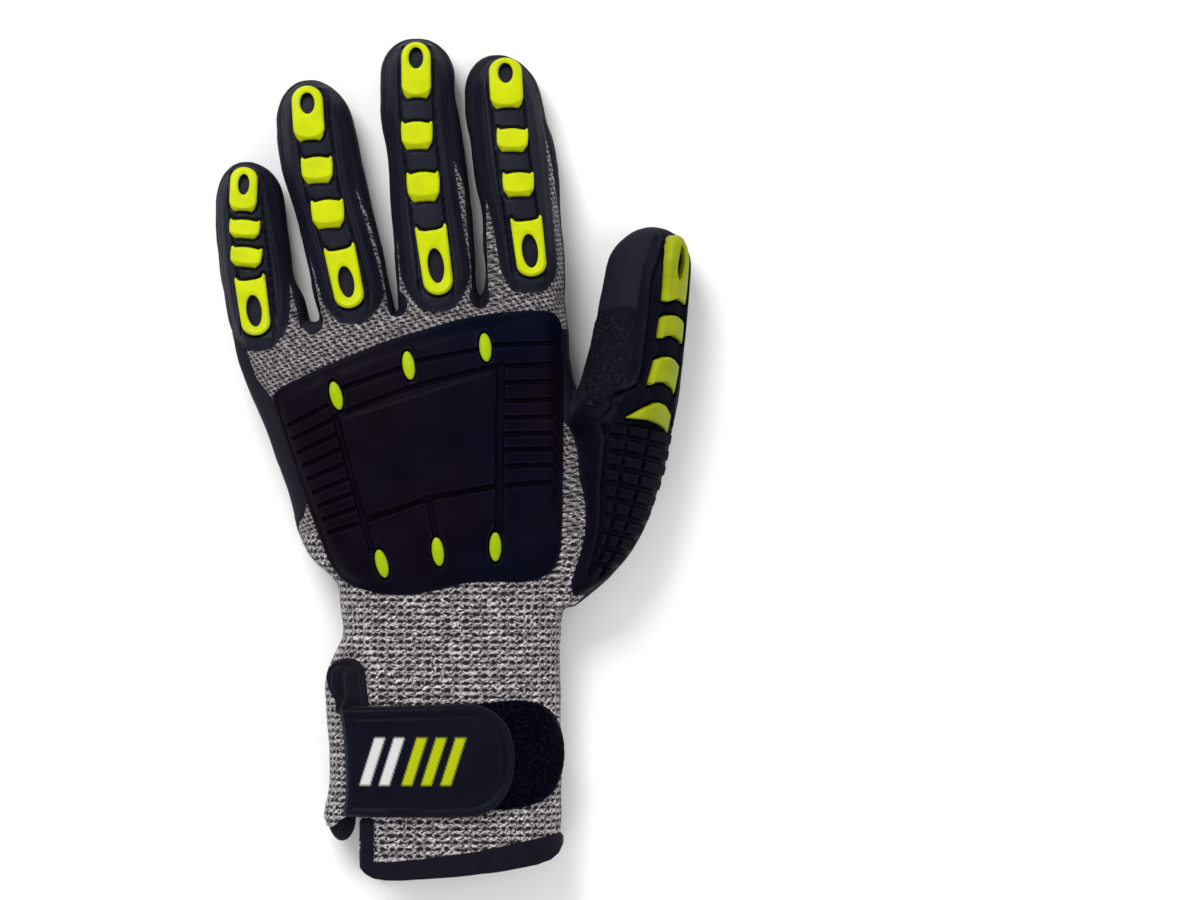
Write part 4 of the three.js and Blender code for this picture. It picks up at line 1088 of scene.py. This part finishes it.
def bright_rubber(name, low, high):
    """Bright satin rubber, a little deeper in tone where it is worn and soiled."""
    made = new_finish(name, Specular_IOR_Level=0.08)
    spot = own_place(made)
    cloud = speckle(made, spot, 150.0, 3.0)
    join(made, blend_of(made, spread(made, cloud, 0.35, 0.65), low, high), "Base Color")
    join(made, spread(made, cloud, 0.3, 0.7, 0.36, 0.50), "Roughness")
    emboss(made, 0.1, 0.05, speckle(made, spot, 1500.0, 2.0))
    return made


pad_green = bright_rubber("pad_green_rubber", (0.385, 0.445, 0.0005, 1), (0.44, 0.505, 0.001, 1))


def ellipse(u, v, half, reach):
    """Roughly how far inside an ellipse a point lies."""
    return (1 - np.sqrt((u / half)**2 + (v / reach)**2)) * min(half, reach)


def pad_rise(pad, u, v, d, hole):
    """Height of a pad over the cloth: a flat crown, a rounded rim and a bevel at the wrist end."""
    kind, _, _, half, reach, _, _ = pad
    rim = PAD_RIM * (1 - ramp(np.minimum(d, -hole), 0, 0.75))**2
    h = PAD_TOP - rim
    if kind != "base":
        start = -0.36 if kind == "bar" else -0.62
        crease = reach * (start - 0.22 * (1 - (u / half)**2))
        h -= PAD_BEVEL * np.clip((crease - v) / (reach + crease + 0.3), 0, 1)
    else:
        h += 0.25 * (ramp(d, 0.3, 0.8) - ramp(d, 0.9, 1.6)) * ramp(-v, 0, reach * 0.5)
    return h


for name, pad in PADS.items():
    shape = pad_outline(pad)
    _, middle_x, middle_y, half, reach, _, window = pad

    def pad_inside(x, y):
        return inside_by(*pad_frame(pad, x, y), shape)

    def pad_window(x, y):
        if window is None:
            return np.full(len(x), NO_WINDOW)
        u, v = pad_frame(pad, x, y)
        return ellipse(u, v - window[0], *window[1:])

    def pad_edge(x, y):
        return np.minimum(pad_inside(x, y), -pad_window(x, y))

    def pad_height(x, y):
        u, v = pad_frame(pad, x, y)
        return pad_rise(pad, u, v, pad_inside(x, y), pad_window(x, y))

    box = (middle_x - half - 2.6, middle_x + half + 2.6, middle_y - reach - 1.6, middle_y + reach + 1.6)
    made = press("green_" + name, pad_edge, box, PAD_CELL, pad_height, on_hand, PAD_UNDERSIDE)
    made.data.materials.append(pad_green)
    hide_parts(name)

# The plate over the back of the hand. It is one black rubber moulding, bonded to the knit, with a thin flange, a
# raised plain middle panel, ribs cut at each side and grooves that run between six green lenses. Its rubber is duller
# than the finger guards', and a painted reflection drifts its colour from a brown black to a blue one.
PLATE_EDGE = [(-54.4, 20.4), (-44, 26.2), (-30.5, 31.9), (-20, 36.2), (-9.1, 39.4), (1.5, 42.6), (11.3, 44.5),
              (20, 45.4), (27.4, 45.6), (31.6, 44.6), (33.6, 41.4), (34.2, 34), (34.4, 11.8), (34.2, -8),
              (33.8, -25.4), (32.8, -31), (30.6, -35), (26.5, -37.4), (21.2, -38.4), (12.5, -38.2), (4.5, -38.6),
              (-5.7, -41), (-15.7, -42.3), (-23, -41.6), (-29.3, -40), (-33.4, -38), (-36.4, -34.6),
              (-39.4, -28.5), (-43.7, -17), (-48, -5), (-52.4, 8.4), (-54.8, 16.4)]
PANEL = [(-34.8, 12.2), (13.4, 27.4), (13.6, -8.2), (-27.4, -18)]
LENSES = [
    # x, y, degrees
    (-35.5, 19.2, 15), (-13.2, 28.5, 9), (10.4, 34.1, 6), (-21.5, -32.5, 15), (-4.2, -28.8, 7),
    (13.5, -27.3, 0)]
LENS_HALF = (1.95, 4.5)
PLATE_GROOVES = [
    # x, y to x, y, half width
    (-33.6, 21.6, -15.2, 27.8, 0.5), (-11, 29.8, 8.4, 33.4, 0.5), (12.8, 34.8, 31, 35.4, 0.5),
    (-34.6, 13.4, -13.2, 21.6, 0.55), (-13.2, 21.6, 12.8, 28.2, 0.55), (12.8, 28.2, 31, 28.9, 0.5),
    (-35.8, 12.6, -26.4, -21.8, 0.85), (15.2, 28.4, 14.6, -22.6, 1.05),
    (-27.6, -19.6, -6.4, -12.1, 0.6), (-6.4, -12.1, 14.2, -8.6, 0.6), (14.2, -8.6, 30.6, -7.4, 0.5),
    (-27.4, -19.6, -24.4, -28.4, 0.75), (-6.8, -12.8, -4.9, -23.4, 0.75)]
LEFT_RIBS = 9
FIRST_RIB = (-50.1, 10.2, -38.2, 16.2)
LAST_RIB = (-37.7, -22.9, -28.8, -20.2)
RIGHT_RIBS = [23.3, 17.7, 12.4, 7.4, 2.5, -2.5]
RIB_HALF = 0.95
RIB_DEPTH = 0.95
GROOVE_DEPTH = 1.25
PLATE_FLANGE = 0.95
PLATE_TOP = 3.1
PANEL_RISE = 0.55
LENS_SEAT = PLATE_TOP - 1.0
LENS_RIM = 0.45
PLATE_CELL = 0.33


def along_line(x, y, x0, y0, x1, y1):
    """Distance to a straight line between two points."""
    run, rise = x1 - x0, y1 - y0
    t = np.clip(((x - x0) * run + (y - y0) * rise) / (run**2 + rise**2), 0, 1)
    return np.hypot(x - x0 - t * run, y - y0 - t * rise)


plate_outline = smooth_outline(PLATE_EDGE)
panel_outline = rounded_outline(PANEL, 1.2)


def plate_edge(x, y):
    return inside_by(x, y, plate_outline)


def lens_distance(x, y):
    """How far inside the nearest lens a point lies."""
    return np.maximum.reduce([ellipse(*turned(x, y, *place), *LENS_HALF) for place in LENSES])


def cut_groove(x, y, line, half):
    """1 in a groove along a straight line and 0 beside it."""
    return ramp(half - along_line(x, y, *line), 0, 0.75)


def plate_height(x, y):
    d = plate_edge(x, y)
    h = PLATE_FLANGE * (0.5 + 0.5 * ramp(d, 0, 0.6)) + (PLATE_TOP - PLATE_FLANGE) * np.sqrt(ramp(d, 1.2, 5.6))
    h += 0.4 * ramp(d, 5, 22)
    groove = np.zeros(len(x))
    for *line, half in PLATE_GROOVES:
        groove = np.maximum(groove, cut_groove(x, y, line, half + 0.5))
    for k in range(LEFT_RIBS):
        line = [first + (last - first) * k / (LEFT_RIBS - 1) for first, last in zip(FIRST_RIB, LAST_RIB)]
        groove = np.maximum(groove, RIB_DEPTH * cut_groove(x, y, line, RIB_HALF))
    for level in RIGHT_RIBS:
        groove = np.maximum(groove, RIB_DEPTH * cut_groove(x, y, (16.8, level, 30.8, level + 0.3), RIB_HALF))
    h += PANEL_RISE * ramp(inside_by(x, y, panel_outline), 0.1, 0.9)
    h -= GROOVE_DEPTH * groove
    lens = lens_distance(x, y)
    h = np.where(lens > -0.2, LENS_SEAT, h)
    return h + LENS_RIM * ridge(lens + 0.75, 0.38)


plate = press("moulded_back_plate", plate_edge, box_of(plate_outline), PLATE_CELL, plate_height, on_hand)

plate_finish = moulded_rubber("plate_rubber", (0.0004, 0.0002, 0.0024, 1), (0.0013, 0.0010, 0.0050, 1), 0.026)
# A slow drift from brown black to blue black is added to the plate's colour: a painted reflection, in place of the
# sheen of glossier rubber.
reflection_brown, reflection_blue = (0.0026, 0.0008, 0.0008, 1), (0.0, 0.0007, 0.0030, 1)
painted_reflection_drift = spread(plate_finish, speckle(plate_finish, own_place(plate_finish), 16.0, 1.0), 0.38, 0.62)
own = plate_finish.node_tree.nodes["Principled BSDF"].inputs["Base Color"].links[0].from_socket
both = add(plate_finish, "ShaderNodeMix", {0: 1.0, 6: own, 7: blend_of(plate_finish, painted_reflection_drift, reflection_brown, reflection_blue)},
           data_type="RGBA", blend_type="ADD")
join(plate_finish, both.outputs[2], "Base Color")
plate.data.materials.append(plate_finish)
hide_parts("back_plate")

# The six lenses. Each is a small oval drop of green rubber let into a seat in the plate, domed above it, with a dark
# moulded rim of the plate's own rubber round it.
LENS_DOME = 1.1
LENS_CELL = 0.28
lens_green = bright_rubber("lens_green_rubber", (0.25, 0.35, 0.001, 1), (0.30, 0.40, 0.002, 1))
for number, place in enumerate(LENSES, 1):
    def lens_inside(x, y):
        return ellipse(*turned(x, y, *place), LENS_HALF[0] - 0.1, LENS_HALF[1] - 0.1)

    def lens_height(x, y):
        return PLATE_TOP + LENS_DOME * np.sqrt(np.clip(lens_inside(x, y) / LENS_HALF[0], 0, 1))

    box = (place[0] - 3.5, place[0] + 3.5, place[1] - 5.5, place[1] + 5.5)
    lens = press("green_lens_" + str(number), lens_inside, box, LENS_CELL, lens_height, on_hand, 1.2)
    lens.data.materials.append(lens_green)
    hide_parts("plate_lens_" + str(number))

# The thumb guard. It is one black rubber moulding, bonded down the thumb's outer side, with a raised lip on its inner
# edge. Below the pads it spreads over the ball of the thumb as rows of small raised blocks, so that it can bend
# there. It is laid on a second map of the cloth, seen along the rolled thumb.
GUARD_ON_HAND = [
    # y, x of the inner edge on the back of the hand, seen from above, and right of the thumb's middle line
    (-42.4, 37.4, 0), (-39.5, 36.6, 4), (-35.6, 37.5, 6.2), (-31.8, 38.8, 8), (-25, 40.6, 10), (-17, 41.2, 11.4),
    (-7, 39.8, 12.5), (0, 38.4, 12.8), (6, 36.4, 12.3), (11, 35.2, 11.4), (15.4, 36.6, 10.7)]
THUMB_GUARD = [
    # y, left, right of the thumb's middle line
    (19.6, -16.4, 10), (21.8, -12.6, 9.8), (25, -11.4, 9.6), (31, -11.2, 9.6), (45, -10.8, 9.4), (59, -10, 9),
    (65.6, -7.4, 6.8), (69.4, -4, 4)]
THUMB_PADS = {
    # name: outline as u from the middle line, y
    "thumb_tip_pad": [(-5.0, 48.6), (-5.2, 55), (-5.1, 61), (-4.4, 65.2), (-2.6, 68), (0, 69), (2.6, 68.2),
                      (4.4, 65.4), (5.2, 61), (5.4, 54), (5.2, 47.2), (4.4, 48), (0, 49.4), (-4.2, 48.2)],
    "thumb_upper_bar": [(-5.2, 43.2), (-3, 44), (0, 43.8), (3.6, 42.8), (5.4, 41.8), (5.6, 35), (4.4, 36.4),
                        (0, 38), (-4, 37.6), (-5.4, 36.6)],
    "thumb_lower_bar": [(-5.6, 30.2), (-2, 31.2), (2, 30.4), (6, 28.6), (6.3, 19.6), (5, 21.4), (0, 23.6),
                        (-4.8, 23.4), (-6.4, 22.4)],
    "thumb_wedge": [(-11.4, 12.4), (-6, 15.6), (-1.8, 17.1), (2.8, 16.2), (8, 13.4), (8.6, 7.6), (3, 10.2),
                    (-3, 11.8)],
}
THUMB_FLANGE = 0.8
THUMB_RISE = 1.9
LIP_RISE = 1.0
LIP_GROOVE = 0.7
PAD_BED = 1.1
MIDDLE_GROOVE = 0.5
BLOCK_ROW = 4.75
BLOCK_COLUMNS = (-9.4, -1.6)
BLOCK_GROOVE = 1.5
THUMB_GUARD_CELL = 0.42
THUMB_GUARD_BOX = (1.0, 52.0, -43, 71)
thumb_map = cloth_map(THUMB_ROLL)


def on_thumb(u, y, h):
    return lay_on(thumb_map, THUMB_ROLL, u, y, h)


def across_thumb_plan(x, z):
    """A place on the rolled plan, from the place across the glove and the height."""
    return x * math.cos(THUMB_ROLL) - z * math.sin(THUMB_ROLL)


def middle_of_thumb(y):
    """The thumb's middle line, across the rolled plan."""
    table = np.array(THUMB)
    return across_thumb_plan(read_curve(table[:, 0], table[:, 1], y), read_curve(table[:, 0], table[:, 2], y))


for number, (y, x, right) in enumerate(GUARD_ON_HAND):
    place = np.array([[x], [y]])
    left = across_thumb_plan(x, read_map(hand_map[0], *place)) - middle_of_thumb(place[1])
    THUMB_GUARD.insert(number, (y, float(left[0]), right))
thumb_outline = smooth_outline(strip(THUMB_GUARD))
thumb_shapes = {name: rounded_outline(points, 0.5) for name, points in THUMB_PADS.items()}


def thumb_edge(u, y):
    return inside_by(u - middle_of_thumb(y), y, thumb_outline)


def thumb_height(u, y):
    across = u - middle_of_thumb(y)
    d = inside_by(across, y, thumb_outline)
    table = np.array(THUMB_GUARD)
    left = across - read_curve(table[:, 0], table[:, 1], y)
    h = THUMB_FLANGE * (0.55 + 0.45 * ramp(d, 0, 0.5)) + THUMB_RISE * np.sqrt(ramp(d, 0.6, 3.4))
    h += (LIP_RISE * ridge(left - 1.2, 0.55) - LIP_GROOVE * ridge(left - 2.6, 0.6)) * ramp(y, 8, 14)
    pads = np.maximum.reduce([inside_by(across, y, shape) for shape in thumb_shapes.values()])
    near = ramp(pads, -1.3, -0.6)
    h -= PAD_BED * near
    h -= MIDDLE_GROOVE * ramp(y, 14, 16) * ramp(-y, -68, -66) * ramp(5.8 - np.abs(across), 0, 0.8) * (1 - near)
    # Ten rows of blocks slant down to the outer side, in three columns that narrow towards the wrist.
    narrow = 1 - 0.5 * ramp(-y, 0, 40)
    row = (y + 0.16 * across) / BLOCK_ROW
    row_gap = np.abs(row - np.round(row)) * BLOCK_ROW
    column = np.minimum(*(np.abs(across / narrow - place) for place in BLOCK_COLUMNS)) * narrow
    lines = np.maximum(ramp(1.15 - row_gap, 0, 0.75), ramp(1.1 - column, 0, 0.75))
    field = ramp(left, 2.6, 3.4) * ramp(9.6 - y - 0.1 * across, 0, 0.9) * ramp(y, -38, -35)
    band = np.maximum(ramp(1.0 - np.abs(left - 3.0), 0, 0.75), ramp(1.0 - np.abs(y + 0.1 * across - 9.8), 0, 0.75))
    band *= ramp(11 - y, 0, 1) * ramp(y, -37, -34) * ramp(left, 1.8, 2.4)
    return h - BLOCK_GROOVE * np.maximum(lines * field, band)


thumb_guard = press("moulded_thumb_guard", thumb_edge, THUMB_GUARD_BOX, THUMB_GUARD_CELL, thumb_height, on_thumb)
thumb_rubber = moulded_rubber("thumb_guard_rubber", (0.0004, 0.0006, 0.0034, 1), (0.0014, 0.0019, 0.0066, 1), 0.032)
thumb_guard.data.materials.append(thumb_rubber)
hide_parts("thumb_guard")

# The thumb's four green pads. They are poured like the fingers' pads, and each has a ridge down it, so that its inner
# facet faces up and its outer one away. The tip pad has a window, and the lowest pad is a wedge.
THUMB_WINDOW = (0.4, 60.4, 1.8, 5.4)
THUMB_PAD_TOP = 4.6
PAD_RIDGE = -0.8
WEDGE_RIDGE = -2.4
FACETS = (0.05, 0.30)
thumb_green = bright_rubber("thumb_green_rubber", (0.20, 0.235, 0.003, 1), (0.255, 0.30, 0.004, 1))
for name, shape in thumb_shapes.items():
    def thumb_pad_window(u, y):
        if name != "thumb_tip_pad":
            return np.full(len(u), NO_WINDOW)
        window_u, window_y, half, reach = THUMB_WINDOW
        across = u - middle_of_thumb(y) - window_u
        return ellipse(across - 0.1 * (y - window_y), y - window_y, half, reach)

    def thumb_pad_edge(u, y):
        return np.minimum(inside_by(u - middle_of_thumb(y), y, shape), -thumb_pad_window(u, y))

    def thumb_pad_height(u, y):
        rim = 0.5 * (1 - ramp(thumb_pad_edge(u, y), 0, 0.7))**2
        past = u - middle_of_thumb(y) - (PAD_RIDGE if name != "thumb_wedge" else WEDGE_RIDGE)
        fall = np.where(past > 0, FACETS[1], FACETS[0]) * np.abs(past) * ramp(np.abs(past), 0, 0.6)
        return THUMB_PAD_TOP - fall - rim

    middle = float(middle_of_thumb(np.array([shape[:, 1].mean()]))[0])
    box = (middle + shape[:, 0].min() - 2.5, middle + shape[:, 0].max() + 2.5, shape[:, 1].min() - 1,
           shape[:, 1].max() + 1)
    made = press("green_" + name, thumb_pad_edge, box, PAD_CELL, thumb_pad_height, on_thumb, 1.0)
    made.data.materials.append(thumb_green)
    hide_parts(name)

# The crotch patch. A second and coarser coat of gritted nitrile lies between thumb and forefinger, where tools rub.
# It is less than a millimetre thick and thins out to its edge.
PATCH = [(41.5, 20), (41.2, 26), (42.4, 33), (45, 44), (50, 46.4), (56, 46), (57.6, 38), (56.2, 30),
         (52.4, 23), (47.4, 18.6), (43.6, 17.6)]
PATCH_FEATHER = 0.25
PATCH_SWELL = 0.55
PATCH_CELL = 0.45
PATCH_BLACKS = ((0.0006, 0.0006, 0.0040, 1), (0.014, 0.013, 0.026, 1))
patch_outline = smooth_outline(PATCH)


def patch_edge(x, y):
    return inside_by(x, y, patch_outline)


def patch_height(x, y):
    return PATCH_FEATHER + PATCH_SWELL * ramp(patch_edge(x, y), 0, 1.0)


patch = press("gritted_thumb_patch", patch_edge, box_of(patch_outline), PATCH_CELL, patch_height, on_hand, -0.4)
roughen(patch, "grit", 1.1, 2, 0.5)
patch_finish = new_finish("gritted_nitrile", Roughness=0.8, Specular_IOR_Level=0.09)
coarse = speckle(patch_finish, own_place(patch_finish), 900.0, 4.0, Roughness=0.75)
join(patch_finish, blend_of(patch_finish, spread(patch_finish, coarse, 0.50, 0.72), *PATCH_BLACKS), "Base Color")
emboss(patch_finish, 0.8, 0.25, coarse)
patch.data.materials.append(patch_finish)
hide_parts("thumb_patch")

# The cuff's binding. Black woven tape, 12.5 mm wide, is folded over the raw edge of the knit and stitched down, all
# round the mouth and up the edge of the slit.
TAPE_WALL = 3.6
TAPE_EDGE = 0.7
TAPE_PROUD = (0.2, 0.9)
binding = copy_of(form, "hem_binding")
keep_faces(binding, open_faces & tape_faces)
tidy_cut(binding)
tape = positions(binding)
normal = np.array([v.normal for v in binding.data.vertices])
tape += normal * (TAPE_PROUD[0] + TAPE_PROUD[1] * ramp(bound(tape), 0, 0.9))[:, None]
tape[:, 2] = np.maximum(tape[:, 2], 0)
move_to(binding, tape)
apply(binding, "SOLIDIFY", thickness=TAPE_WALL * MM, offset=-1, use_rim=True)
apply(binding, "BEVEL", width=TAPE_EDGE * MM, segments=3, limit_method="ANGLE", angle_limit=math.radians(50))
shade(binding, 50)


def tape_weave(name, low, high, scale):
    """Woven or knitted black tape: fine ribs across it, dull."""
    made = new_finish(name, Roughness=0.85, Specular_IOR_Level=0.06, Sheen_Weight=0.03)
    spot = own_place(made)
    ribs = add(made, "ShaderNodeTexWave", {"Vector": spot, "Scale": scale, "Distortion": 1.2, "Detail": 2.0},
               bands_direction="DIAGONAL")
    cloud = speckle(made, spot, 500.0, 3.0)
    join(made, blend_of(made, cloud, low, high), "Base Color")
    emboss(made, 0.5, 0.12, sum_of(made, "ADD", ribs.outputs["Fac"], cloud))
    return made


tape_black = tape_weave("binding_tape", (0.002, 0.0016, 0.0046, 1), (0.008, 0.0066, 0.0135, 1), 320.0)
binding.data.materials.append(tape_black)
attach(binding, "root")
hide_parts("cuff_hem")

# The slit's gusset. Soft black jersey is sewn into the slit, so that the cuff can open for the hand. It bunches in
# two folds under a piped arch at the top of the slit, and in one soft lobe below the strap. The arch lies on the
# steep side of the cuff, so it is laid on a map rolled the other way than the thumb's.
GUSSET_ARCH = [(-35, -79), (-35.6, -75.6), (-37.3, -72.6), (-38.2, -70), (-38.4, -67.4), (-37.7, -64.9),
               (-35.6, -62.8), (-32.2, -61.8), (-29, -62.6), (-27, -65.4), (-26.4, -69.6), (-26.2, -79)]
BUNCHES = [
    # away from the arch's middle, half the width, height
    (2.7, 1.7, 2.9), (-2.3, 1.6, 2.7)]
ARCH_CELL = 0.3
LOBE_MIDDLE = (-34.4, -111.4, 10.4)
LOBE_HALF = (4.35, 7.4, 6.4)
GUSSET_ROLL = math.radians(-38)
gusset_map = cloth_map(GUSSET_ROLL)
arch_x, arch_y = smooth_outline(GUSSET_ARCH).T
arch_u = arch_x * math.cos(GUSSET_ROLL) - read_map(hand_map[0], arch_x, arch_y) * math.sin(GUSSET_ROLL)
arch_outline = np.column_stack([arch_u, arch_y])
arch_middle = (arch_u.min() + arch_u.max()) / 2


def on_gusset_side(u, y, h):
    return lay_on(gusset_map, GUSSET_ROLL, u, y, h)


def arch_inside(u, y):
    return inside_by(u, y, arch_outline)


def arch_height(u, y):
    d = arch_inside(u, y)
    fold = u - arch_middle - 0.14 * (y + 70) - 0.5 * np.sin(0.55 * (y + 64))
    bunches = sum(height * ridge(fold - away, half) for away, half, height in BUNCHES)
    creases = 0.22 * np.sin(0.5 * y + 1.1 * u) * ramp(d, 1.8, 3)
    return 0.5 + 1.1 * ridge(d - 0.9, 0.7) + (bunches + creases) * ramp(d, 1.4, 3.0) * ramp(-y, 62.6, 67)


gusset = press("jersey_gusset", arch_inside, box_of(arch_outline), ARCH_CELL, arch_height, on_gusset_side, -1.2)
bpy.ops.object.select_all(action="DESELECT")
bpy.ops.mesh.primitive_uv_sphere_add(segments=64, ring_count=40, radius=1)
lobe = bpy.context.object
ball = positions(lobe) * MM
tuck = 1 - 0.16 * ridge(ball[:, 0] + 0.25 - 0.3 * ball[:, 1], 0.2) * (1 - ball[:, 1]**2)
ball *= np.column_stack([LOBE_HALF[0] * tuck, np.full(len(tuck), LOBE_HALF[1]), LOBE_HALF[2] * tuck])
move_to(lobe, ball + LOBE_MIDDLE)
gusset.select_set(True)
bpy.context.view_layer.objects.active = gusset
bpy.ops.object.join()
shade(gusset, 60)
gusset.data.materials.append(tape_weave("gusset_jersey", (0.002, 0.002, 0.005, 1), (0.010, 0.009, 0.015, 1), 500.0))
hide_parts("slit_gusset")

# The loop patch. A piece of brushed nylon loop tape is sewn flat on the back of the cuff, for the strap to close on.
# Its nap is fuzzy and swallows nearly all light.
LOOP_EDGE = [(-8, -77), (7, -76), (20, -74.6), (27, -75.6), (31.4, -79), (34, -84.5), (34.9, -91), (33.8, -99),
             (30.6, -104.6), (25, -107.4), (15, -108.8), (4, -108), (-8, -108)]
LOOP_CELL = 0.42
NAP_BLACKS = ((0.0002, 0.0003, 0.002, 1), (0.007, 0.008, 0.020, 1))
loop_outline = rounded_outline(LOOP_EDGE, 3)


def loop_inside(x, y):
    return inside_by(x, y, loop_outline)


def loop_height(x, y):
    return 0.4 + 1.0 * np.sqrt(ramp(loop_inside(x, y), 0, 1.1))


loop = press("brushed_loop_patch", loop_inside, box_of(loop_outline), LOOP_CELL, loop_height, on_hand, -0.3)
roughen(loop, "nap", 0.9, 1, 0.55)
loop_finish = new_finish("brushed_nylon", Roughness=1.0, Specular_IOR_Level=0.02, Sheen_Weight=0.035,
                         Sheen_Roughness=0.4)
hairs = speckle(loop_finish, own_place(loop_finish), 1100.0, 4.0, Roughness=0.7)
join(loop_finish, blend_of(loop_finish, spread(loop_finish, hairs, 0.5, 0.75), *NAP_BLACKS), "Base Color")
emboss(loop_finish, 0.9, 0.3, hairs)
loop.data.materials.append(loop_finish)
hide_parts("loop_patch")


# The closing strap. A strip of hook tape is sewn on at the slit, on the little-finger side, and a black rubber panel
# is welded on it. The panel has a raised rim and, in its middle, a plain row of slanting bars, moulded proud and
# filled with pale and green rubber.
STRAP_EDGE = [(-35, -76.9), (-8, -76.2), (4, -75.7), (9, -76.2), (13.4, -78.4), (16.8, -82), (18.8, -87),
              (19.6, -93), (18.8, -99.5), (16.6, -104.6), (13, -108.4), (8.4, -110.4), (2, -111), (-33.7, -110.8),
              (-32.9, -104), (-33, -94), (-33.7, -85)]
strap_outline = rounded_outline(STRAP_EDGE, [0.6] + [4] * 12 + [0.6] + [4] * 3)
STRAP_BARS = [
    # x of the bar's middle, green or not
    (-24.5, 0), (-18.5, 0), (-11.5, 1), (-5.5, 1), (0.5, 1)]
BAR_HALF = (1.9, 7.6)
BAR_LEVEL = -93.6
BAR_SLANT = 0.32
BAR_RISE = 0.75
PANEL_INSET = 0.5
STRAP_CELL = 0.6
PANEL_CELL = 0.4
PAINTED_ABOVE = 20
PALE_BAR = (0.50, 0.50, 0.49, 1)
GREEN_BAR = (0.33, 0.38, 0.003, 1)


def strap_inside(x, y):
    return inside_by(x, y, strap_outline)


def strap_height(x, y):
    return 1.5 + 1.2 * np.sqrt(ramp(strap_inside(x, y), 0, 0.7))


def bar_inside(x, y, middle):
    """How far inside one slanting bar of the panel a point lies."""
    u = x - middle - BAR_SLANT * (y - BAR_LEVEL)
    return np.minimum(BAR_HALF[0] - np.abs(u), BAR_HALF[1] - np.abs(y - BAR_LEVEL))


def panel_edge(x, y):
    return strap_inside(x, y) - PANEL_INSET


def panel_height(x, y):
    d = panel_edge(x, y)
    h = 3.0 + 1.1 * np.sqrt(ramp(d, 0, 0.9)) - 0.65 * ramp(d, 1.5, 2.3) + 0.35 * ramp(d, 3.0, 4.4)
    for middle, _ in STRAP_BARS:
        h += BAR_RISE * ramp(bar_inside(x, y, middle), 0, 0.6)
    return h


strap = press("hook_strap", strap_inside, box_of(strap_outline), STRAP_CELL, strap_height, on_hand, 0.2)
strap.data.materials.append(tape_weave("strap_tape", (0.003, 0.003, 0.006, 1), (0.012, 0.012, 0.019, 1), 420.0))
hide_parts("strap")
panel = press("strap_panel", panel_edge, box_of(strap_outline), PANEL_CELL, panel_height, on_hand, 2.4)
place = positions(panel)
paint = panel.data.color_attributes.new("bars", "FLOAT_COLOR", "POINT")
shades = np.zeros((len(place), 4))
for middle, green in STRAP_BARS:
    on = ramp(bar_inside(place[:, 0], place[:, 1], middle), 0.1, 0.45) * (place[:, 2] > PAINTED_ABOVE)
    shades[:, green] = np.maximum(shades[:, green], on)
paint.data.foreach_set("color", shades.ravel())
panel_finish = moulded_rubber("strap_rubber", (0.0016, 0.0018, 0.0058, 1), (0.0030, 0.0034, 0.0092, 1), 0.05)
plain = panel_finish.node_tree.nodes["Principled BSDF"].inputs["Base Color"].links[0].from_socket
bars = add(panel_finish, "ShaderNodeAttribute", attribute_name="bars")
split = add(panel_finish, "ShaderNodeSeparateColor", {0: bars.outputs["Color"]})
grey = blend_of(panel_finish, split.outputs[0], plain, PALE_BAR)
join(panel_finish, blend_of(panel_finish, split.outputs[1], grey, GREEN_BAR), "Base Color")
panel.data.materials.append(panel_finish)
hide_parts("strap_patch")

# The form has done its work.
bpy.data.objects.remove(form)
